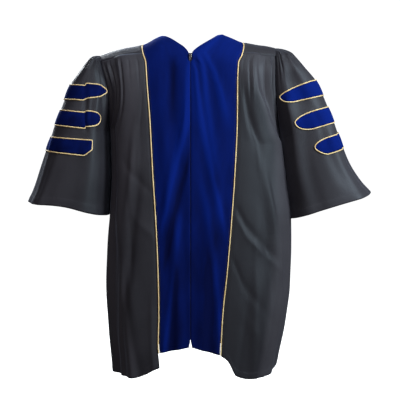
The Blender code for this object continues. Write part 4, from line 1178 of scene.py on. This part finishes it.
def bandPoint(side, row, share, rows, lift=0.0):
    inner, outer = along(rows[0], row), along(rows[1], row)
    far = pipingLine[side](outer) - cut["piping"] - cut["seam"]
    byReach = len(neckRowDrops)
    out = lift + bandOut(side, row, share, rows)
    if row <= byReach + 1:
        if row == 0:
            near = (coverOf(side, bandInner(side, 1.0), 0.0), onLine)
            beside = (coverOf(side, pipingLine[side](0.0) - cut["piping"] - cut["seam"], 0.0), onLine)
        else:
            nearCover = coverOf(side, mix(bandInner(side, 1.0), bandInner(side, inner), min(row, 1.0)), inner)
            besideCover = coverOf(side, far, outer)
            near = (nearCover, reachOf(lineOver(side, nearCover) - inner, "front"))
            beside = (besideCover, reachOf(lineOver(side, besideCover) - outer, "front"))
        reach = max(mix(near[1], beside[1], share), onLine)
        byLine = reachPoint(side, mix(near[0], beside[0], share), -reach, out)
        byLine.y -= cut["shoulderSeam"] * ease(1 - row)
        if row <= byReach:
            return byLine
    height = mix(inner, outer, share)
    byHeight = bodyPoint(side, coverOf(side, mix(bandInner(side, inner), far, share), height), height, "front", out)
    return byHeight if row > byReach + 1 else byLine.lerp(byHeight, row - byReach)


def bandOut(side, row, share, rows):
    down = max(along(rows[1], row) / velvetHem[side][1], 0.0)
    wave = math.sin(share * bandForm["dragAcross"] + down * bandForm["dragDown"]) * math.sin(share * math.pi)
    out = bandForm["drag"] * wave * ease(down / 0.2)
    out += foldOut(bandDrags[side], share, down, 21.0, 0.12) * ease(share / 0.15) * ease((1 - share) / 0.15)
    out += bandForm["ripple"] * drift(share * 4.0, down * 16.0, 23.0 * side)
    out += seamDip(1 - share, bandForm["dipShare"]) * 0.8
    out -= 0.0010 * math.exp(-(share / 0.02) ** 2) * ease((row - 4) / 1.0)    # the edge turns in to the zip
    return out


bandPaintedFalloff = {    # painted light on the velvet bands: lighter at the shoulder, painted shade down towards the hem
    -1: Track(((0.0, 0.54), (0.20, 0.50), (0.45, 0.42), (0.75, 0.26), (1.0, 0.20))),
    1: Track(((0.0, 0.74), (0.10, 0.60), (0.30, 0.46), (0.55, 0.32), (0.80, 0.18), (1.0, 0.14))),
}


def bandPaintedLight(side, row, share, rows):    # painted light on the pile: the painted falloff, painted highlights on the drag ridges, and random unevenness
    down = max(along(rows[1], row) / velvetHem[side][1], 0.0)
    lift = foldOut(bandDrags[side], share, down, 21.0, 0.12) / 0.0034
    return bandPaintedFalloff[side](down) + 0.68 * lift + 0.12 * drift(share * 3.0, down * 9.0, 25.0)


def makeBand(side):
    rows = bandRows(side)
    last = len(rows[0]) - 1
    across = spaced(bandForm["columns"], 0.5)
    # the first rows are close together, where the neckline curves
    places = [last * (v * 0.55 + v * v * 0.45) for v in spaced(bandForm["rows"])]
    grid = [[bandPoint(side, row, share, rows) for share in across] for row in places]
    nap = [[bandPaintedLight(side, row, share, rows) for share in across] for row in places]
    name = f"velvet_{sideName[side]}_band"
    piece = gridMesh(name, grid, velvet, cut["velvet"], flip=side < 0, nap=nap)
    return wear(piece, grid, [f"velvet_{sideName[side]}"])


def makeNeckBand():
    across = spaced(14, 0.4)
    grid = []
    shares = spaced(60, 0.1)
    for side, share in [(-1, s) for s in shares] + [(1, s) for s in shares[-2::-1]]:
        near, far = neckEdges(side, share)
        edge = neckOutline(side, share, -cut["piping"] - cut["seam"])
        line = []
        for w in across:
            reach = max(mix(near[1], far[1], w), onLine)
            out = bandForm["ripple"] * drift(w * 3.0, share * 9.0, side * 3.0) + seamDip(1 - w, 0.05) * 0.8
            point = reachPoint(side, mix(near[0], far[0], w), reach, out)
            line.append(point.lerp(edge, ease((w - 0.8) / 0.2)))
        grid.append(line)
    for line in (grid[0], grid[-1]):
        for k, point in enumerate(line):
            line[k] = point + Vector((0, cut["shoulderSeam"], 0))
    nap = [[0.5 + 0.2 * drift(k * 0.2, c * 0.2, 7.0) for c in range(len(across))] for k in range(len(grid))]
    piece = gridMesh("velvet_neck_band", grid, velvet, cut["velvet"], nap=nap)
    return wear(piece, grid, ["velvet_neck"])


# Piping: a cord in a satin strip

pipingForm = {
    "sides": 14,
    "step": 0.004,
    "uneven": 0.06,
}


def tube(name, path, radius, look, closed=False):    # path holds (point, outward direction)
    grid = []
    count = len(path)
    for k, (point, outward) in enumerate(path):
        after = path[(k + 1) % count][0] if closed else path[min(k + 1, count - 1)][0]
        before = path[k - 1][0] if closed or k else path[0][0]
        way = (after - before).normalized()
        beside = way.cross(outward).normalized()
        front = beside.cross(way).normalized()
        fat = radius * (1 + pipingForm["uneven"] * drift(k * 0.35, radius * 900, 1.7))
        ring = []
        for s in range(pipingForm["sides"] + 1):
            angle = 2 * math.pi * s / pipingForm["sides"] + math.pi
            ring.append(point + front * (fat * math.cos(angle)) + beside * (fat * math.sin(angle)))
        ring[-1] = ring[0].copy()
        grid.append(ring)
    if closed:
        grid.append([point.copy() for point in grid[0]])
    else:
        for end, near in ((0, 1), (-1, -2)):
            middle = path[end][0]
            tip = middle + (middle - path[near][0]).normalized() * radius * 0.4
            cap = [[middle.lerp(p, 0.6) + (tip - middle) * 0.8 for p in grid[end]], [tip.copy() for _ in grid[end]]]
            grid = cap[::-1] + grid if end == 0 else grid + cap
    return gridMesh(name, grid, look, closed=True, flip=True)


def makeFrontPiping(side):
    rows = seamRows(side)
    path = []
    for k in range(261):
        height = along(rows, k / 260 * (len(rows) - 1))
        cover = coverOf(side, pipingLine[side](height), height)
        point = bodyPoint(side, cover, height, "front", cut["pipingProud"])
        if k < 3:
            point.y -= 2 * cut["seam"] * (1 - k / 3)
        path.append((point, (bodyPoint(side, cover, height, "front", 0.01) - point).normalized()))
    piece = tube(f"piping_{sideName[side]}_cord", path, cut["piping"], gold)
    return trim(piece, [f"piping_{sideName[side]}"])


def makeNeckPiping():
    path = []
    shares = spaced(70)
    for side, share in [(-1, s) for s in shares] + [(1, s) for s in shares[-2::-1]]:
        point = neckOutline(side, share) + Vector((0, 0, cut["pipingProud"]))
        path.append((point, (neckOutline(side, share, 0.0, 0.01) - point).normalized()))
    for end in (0, -1):
        path[end][0].y += 2 * cut["seam"]
    return trim(tube("piping_neck_cord", path, cut["piping"], gold), ["piping_neck"])


def trim(piece, replaced=()):
    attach(piece, "gown")
    if replaced:
        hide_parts(*replaced)
    return piece


# Bars on the sleeves

barForm = {
    "columns": 130,
    "rows": 10,
    "lift": 0.0010,          # the velvet's back above the sleeve
    "dome": 0.0010,
    "inset": 0.0026,         # the velvet stops this far inside the outline, under the piping
}
# where a bar starts across the sleeve, the height share of its tip, and for its upper and lower edge the
# length of the curve to the tip, its fullness (1 is a straight slant, a half is round) and its height at the tip
bars = {
    -1: ((0.267, 0.44, (0.040, 0.56, 0.02), (0.070, 0.68, 0.02)),
         (0.285, 0.42, (0.042, 0.54, 0.02), (0.056, 0.62, 0.06)),
         (0.312, 0.50, (0.003, 0.60, 0.90), (0.022, 0.98, 0.25))),
    1: ((0.281, 0.42, (0.110, 0.64, 0.02), (0.042, 0.58, 0.04)),
        (0.324, 0.40, (0.078, 0.60, 0.04), (0.048, 0.62, 0.06)),
        (0.388, 0.40, (0.050, 0.58, 0.10), (0.032, 0.80, 0.10))),
}
barRows = {-1: ((2.13, 3.05), (4, 5), (6, 7)), 1: ((2, 3), (4, 5), (6, 7))}


def makeBar(side, number):
    upper, lower = barRows[side][number]
    reach, tip, upperEnd, lowerEnd = bars[side][number]
    start = placeAcross(side, upper, reach)
    shares = spaced(barForm["columns"], 0.75)
    places = [mix(start, -start, s) for s in shares]
    middle = [sleevePoint(side, mix(upper, lower, 0.5), place) for place in places]
    lengths = [0.0]
    for a, b in zip(middle, middle[1:]):
        lengths.append(lengths[-1] + (b - a).length)
    height = (sleevePoint(side, upper, 0.0) - sleevePoint(side, lower, 0.0)).length

    def edge(length, taper, fullness, blunt):
        end = min(min(length, lengths[-1] - length) / taper, 1.0)
        return mix(blunt, 1.0, mix(end, 1 - (1 - end) ** 2, 2 * (1 - fullness)) ** fullness)

    outline = [(place, tip - tip * edge(s, *upperEnd), tip + (1 - tip) * edge(s, *lowerEnd))
               for place, s in zip(places, lengths)]
    inset = barForm["inset"] / height
    grid = []
    for k in range(barForm["rows"] + 1):
        w = k / barForm["rows"]
        line = []
        for place, top, foot in outline:
            top, foot = min(top + inset, tip), max(foot - inset, tip)
            lift = barForm["lift"] + cut["velvet"] + barForm["dome"] * math.sin(w * math.pi) * (foot - top)
            row = slipped(side, mix(upper, lower, mix(top, foot, w)), place, number)
            line.append(liftedPoint(side, row, place, lift))
        grid.append(line)
    # painted light: the right bars painted lighter and the left ones darker, with random unevenness
    nap = [[0.46 + (0.44 if side > 0 else -0.24) + 0.25 * drift(c * 0.09, k * 0.2, number * 3.0 + side)
            for c in range(len(places))] for k in range(len(grid))]
    name = f"bar_{sideName[side]}_{number + 1}"
    bar = gridMesh(name + "_velvet", grid, velvet, cut["velvet"] * 0.8, flip=side < 0, nap=nap)
    wear(bar, grid, [name])
    path = [(place, top) for place, top, _ in outline] + [(place, foot) for place, _, foot in outline[::-1]]
    cord = []
    for place, share in path:
        point, normal = sleeveFace(side, slipped(side, mix(upper, lower, share), place, number), place)
        point = point + normal * (cut["piping"] + 0.0006)
        if not cord or (point - cord[-1][0]).length > 0.0012:
            cord.append((point, normal))
    piece = tube(f"piping_{name}_cord", cord, cut["piping"], gold, closed=True)
    trim(piece, [f"piping_{name}"])


def liftedPoint(side, row, place, lift):
    point, normal = sleeveFace(side, row, place)
    return point + normal * lift


def slipped(side, row, place, number):    # a bar's row, moved up where the tuck has pulled it
    if side != sleeveTuck["side"]:
        return row
    return row - sleeveTuck["slip"][number] * ease((tuckLine(row) - place) / 0.014 + 0.5) * (place < 0)


print("making the gown's pieces")
makeYoke()
for side in (-1, 1):
    makeFront(side)
say("yoke and fronts")
makeBack()
say("back")
for side in (-1, 1):
    makeSleeve(side)
say("sleeves")
makeNeckBand()
for side in (-1, 1):
    makeBand(side)
say("velvet bands")
makeNeckPiping()
for side in (-1, 1):
    makeFrontPiping(side)
    for number in range(len(bars[side])):
        makeBar(side, number)
say("bars and piping")

for node, look in (("zip_slider", metal), ("zip_pull", metal), ("zip_tape_left", tape), ("zip_tape_right", tape)):
    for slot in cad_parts[node].material_slots:
        slot.material = look

# Teeth and stitches, set out along paths by Geometry Nodes

teethForm = {
    "top": -0.056,
    "foot": -0.934,
    "pitch": 0.0021,
    "aside": 0.00055,        # a row's centre beside the middle
    "behind": 0.0030,        # behind the velvet's face
    "size": (0.0021, 0.0014, 0.0011),
}
stitchForm = {
    "pitch": 0.0032,
    "size": (0.00034, 0.00030, 0.00125),      # half of its width, height and length
    "uneven": 0.12,
    "proud": 0.00012,
}


def makeRepeater():    # instances of one small shape at even steps along a path
    tree = bpy.data.node_groups.new("set_along_path", "GeometryNodeTree")
    face, kinds = tree.interface, (("Path", "NodeSocketGeometry"), ("Pitch", "NodeSocketFloat"),
                                   ("Size", "NodeSocketVector"), ("Uneven", "NodeSocketFloat"),
                                   ("Square", "NodeSocketBool"), ("Look", "NodeSocketMaterial"))
    for name, kind in kinds:
        face.new_socket(name, in_out="INPUT", socket_type=kind)
    face.new_socket("Mesh", in_out="OUTPUT", socket_type="NodeSocketGeometry")

    def node(kind, settings=None, inputs=None):
        made = tree.nodes.new(kind)
        for key, value in (settings or {}).items():
            setattr(made, key, value)
        for key, value in (inputs or {}).items():
            if isinstance(value, bpy.types.NodeSocket):
                tree.links.new(value, made.inputs[key])
            else:
                made.inputs[key].default_value = value
        return made

    given = node("NodeGroupInput").outputs
    points = node("GeometryNodeCurveToPoints", {"mode": "LENGTH"}, {0: given["Path"], "Length": given["Pitch"]})
    turned = node("FunctionNodeAlignRotationToVector", {"axis": "Z"}, {"Vector": points.outputs["Tangent"]})
    low = node("ShaderNodeMath", {"operation": "SUBTRACT"}, {0: 1.0, 1: given["Uneven"]})
    high = node("ShaderNodeMath", {"operation": "ADD"}, {0: 1.0, 1: given["Uneven"]})
    chance = node("FunctionNodeRandomValue", {"data_type": "FLOAT"},
                  {"Min": low.outputs[0], "Max": high.outputs[0], "Seed": 7})
    chosen = next(socket for socket in chance.outputs if socket.enabled)
    size = node("ShaderNodeVectorMath", {"operation": "SCALE"}, {0: given["Size"], "Scale": chosen})
    block = node("GeometryNodeMeshCube", {}, {"Size": (1, 1, 1)})
    bead = node("GeometryNodeMeshIcoSphere", {}, {"Radius": 1.0, "Subdivisions": 1})
    shape = node("GeometryNodeSwitch", {"input_type": "GEOMETRY"},
                 {"Switch": given["Square"], "False": bead.outputs[0], "True": block.outputs[0]})
    placed = node("GeometryNodeInstanceOnPoints", {},
                  {"Points": points.outputs["Points"], "Instance": shape.outputs[0],
                   "Rotation": turned.outputs[0], "Scale": size.outputs[0]})
    real = node("GeometryNodeRealizeInstances", {}, {0: placed.outputs[0]})
    looked = node("GeometryNodeSetMaterial", {}, {0: real.outputs[0], "Material": given["Look"]})
    node("NodeGroupOutput", {}, {0: looked.outputs[0]})
    return tree


repeater = makeRepeater()


def setAlong(name, paths, slot, replaced=(), **inputs):    # paths are lists of points
    curve = bpy.data.curves.new(name + "_path", "CURVE")
    curve.dimensions = "3D"
    for points in paths:
        spline = curve.splines.new("POLY")
        spline.points.add(len(points) - 1)
        spline.points.foreach_set("co", [value for point in points for value in (*point, 1.0)])
    carrier = bpy.data.objects.new(name + "_path", curve)
    bpy.context.scene.collection.objects.link(carrier)
    modifier = carrier.modifiers.new("Set", "NODES")
    modifier.node_group = repeater
    for item in repeater.interface.items_tree:
        if item.in_out == "INPUT" and item.name in inputs:
            modifier[item.identifier] = inputs[item.name]
    done = carrier.evaluated_get(bpy.context.evaluated_depsgraph_get())
    mesh = bpy.data.meshes.new_from_object(done)
    carrier.modifiers.remove(modifier)
    bpy.data.objects.remove(carrier)
    mesh.name = name
    piece = bpy.data.objects.new(name, mesh)
    bpy.context.scene.collection.objects.link(piece)
    print(f"  {name}: {len(mesh.polygons)} faces")
    return trim(piece, replaced)


def zipPath(aside):
    path = []
    for k in range(221):
        height = mix(teethForm["foot"], teethForm["top"], k / 220)
        path.append(bodyPoint(1, 0.0, height, "front", -teethForm["behind"]) + Vector((aside, 0, 0)))
    return path


def stitchPath(point, count):
    return [point(k / count) for k in range(count + 1)]


def seamPaths():
    proud = stitchForm["proud"]
    hem = 1 - fronts["hemDepth"] / 1.0
    paths = {"hem_stitching": [], "yoke_stitching": [], "cuff_stitching": [], "band_stitching": []}
    for side in (-1, 1):
        paths["hem_stitching"].append(stitchPath(lambda s: frontPoint(side, mix(0.02, 0.985, s), hem, proud), 90))
        paths["yoke_stitching"].append(
            stitchPath(lambda s: yokeSeamPoint(side, mix(0.03, 0.97, s), 0.0016) + Vector((0, 0, 0.003)), 60))
        cuff = lastSleeveRow * 0.955
        paths["cuff_stitching"].append(stitchPath(lambda s: sleevePoint(side, cuff, mix(-0.99, 0.99, s), proud), 200))
        rows = bandRows(side)
        last = len(rows[0]) - 1
        paths["band_stitching"].append(
            stitchPath(lambda s: bandPoint(side, mix(1.2, last, s), 0.962, rows, proud + 0.0003), 260))
    paths["hem_stitching"].append(stitchPath(lambda s: backPoint(mix(0.01, 0.99, s), 1 - 0.022, proud), 240))
    return paths


setAlong("zip_teeth", [zipPath(-teethForm["aside"]), [p + Vector((0, 0, teethForm["pitch"] / 2))
                                                       for p in zipPath(teethForm["aside"])]],
         "zip_tape", ["zip_chain"], Pitch=teethForm["pitch"], Size=teethForm["size"], Uneven=0.0, Square=True,
         Look=tape)
for name, paths in seamPaths().items():
    setAlong(name, paths, "black_cloth", Pitch=stitchForm["pitch"], Size=stitchForm["size"],
             Uneven=stitchForm["uneven"], Square=False, Look=thread)
say("zip and stitching")

# Stage, lights and camera

stageForm = {
    "floor": -1.42,
    "radius": 6.5,
    "bend": 1.5,
    "height": 7.0,
    "turns": 72,
    "colour": (0.92, 0.92, 0.92),
    "glow": 0.9,
}
lights = {
    "key": {"place": (2.55, -2.05, 0.9), "size": 1.0, "power": 154.0, "colour": (0.84, 0.94, 1.0)},
    "fill": {"place": (-0.8, -2.9, 1.3), "size": 1.2, "power": 33.0, "colour": (1.0, 0.88, 0.93)},
    "top": {"place": (0.2, -0.9, 2.4), "size": 1.2, "power": 24.0, "colour": (0.92, 0.97, 1.0)},
    "back": {"place": (-1.4, 2.5, 1.0), "size": 1.2, "power": 80.0, "colour": (0.94, 0.98, 1.0)},
}
view = {
    "place": (0.030, -2.75, -0.28),
    "tilt": 4.8,          # degrees below the horizon
    "lens": 75.3,
}


def makeStage():    # a round paper floor that bends up all round
    radius, floor, bend = stageForm["radius"], stageForm["floor"], stageForm["bend"]
    profile = [(radius * share, floor) for share in (0.25, 0.5, 0.75)]
    for k in range(13):
        angle = k / 12 * math.pi / 2
        profile.append((radius + bend * math.sin(angle), floor + bend * (1 - math.cos(angle))))
    profile.append((radius + bend, stageForm["height"]))
    turns = stageForm["turns"]
    points = [(0, 0, floor)]
    for reach, height in profile:
        for k in range(turns):
            angle = 2 * math.pi * k / turns
            points.append((reach * math.cos(angle), reach * math.sin(angle), height))
    faces = [(0, 1 + k, 1 + (k + 1) % turns) for k in range(turns)]
    for ring in range(len(profile) - 1):
        start = 1 + ring * turns
        for k in range(turns):
            after = (k + 1) % turns
            faces.append((start + k, start + turns + k, start + turns + after, start + after))
    mesh = bpy.data.meshes.new("sweep")
    mesh.from_pydata(points, [], faces)
    mesh.shade_smooth()
    sweep = bpy.data.objects.new("sweep", mesh)
    bpy.context.scene.collection.objects.link(sweep)
    look = Look("pale_paper")
    mesh.materials.append(look.finish({"Base Color": (*stageForm["colour"], 1), "Roughness": 0.9,
                                       "Emission Color": (1, 1, 1, 1), "Emission Strength": stageForm["glow"]}))
    sweep.visible_diffuse = False    # the paper shows white and doesn't light the gown
    sweep.visible_glossy = False


def aimAt(thing, target):
    thing.rotation_mode = "QUATERNION"
    thing.rotation_quaternion = (Vector(target) - thing.location).to_track_quat("-Z", "Y")


def makeLights():
    for name, form in lights.items():
        data = bpy.data.lights.new(name, "AREA")
        data.size = form["size"]
        data.energy = form["power"]
        data.color = form["colour"]
        lamp = bpy.data.objects.new(name, data)
        lamp.location = form["place"]
        bpy.context.scene.collection.objects.link(lamp)
        aimAt(lamp, (0, 0, -0.4))
    world = bpy.data.worlds.new("studio")
    bpy.context.scene.world = world
    world.use_nodes = True
    world.node_tree.nodes["Background"].inputs[0].default_value = (1, 1, 1, 1)
    world.node_tree.nodes["Background"].inputs[1].default_value = 0.08


def makeCamera():
    data = bpy.data.cameras.new("photographer")
    data.lens = view["lens"]
    data.sensor_width = 36.0
    camera = bpy.data.objects.new("photographer", data)
    camera.location = view["place"]
    camera.rotation_euler = (math.radians(90 - view["tilt"]), 0, 0)
    bpy.context.scene.collection.objects.link(camera)
    bpy.context.scene.camera = camera


makeStage()
makeLights()
makeCamera()
bpy.context.scene.view_settings.view_transform = "Standard"
say("stage, lights and camera")
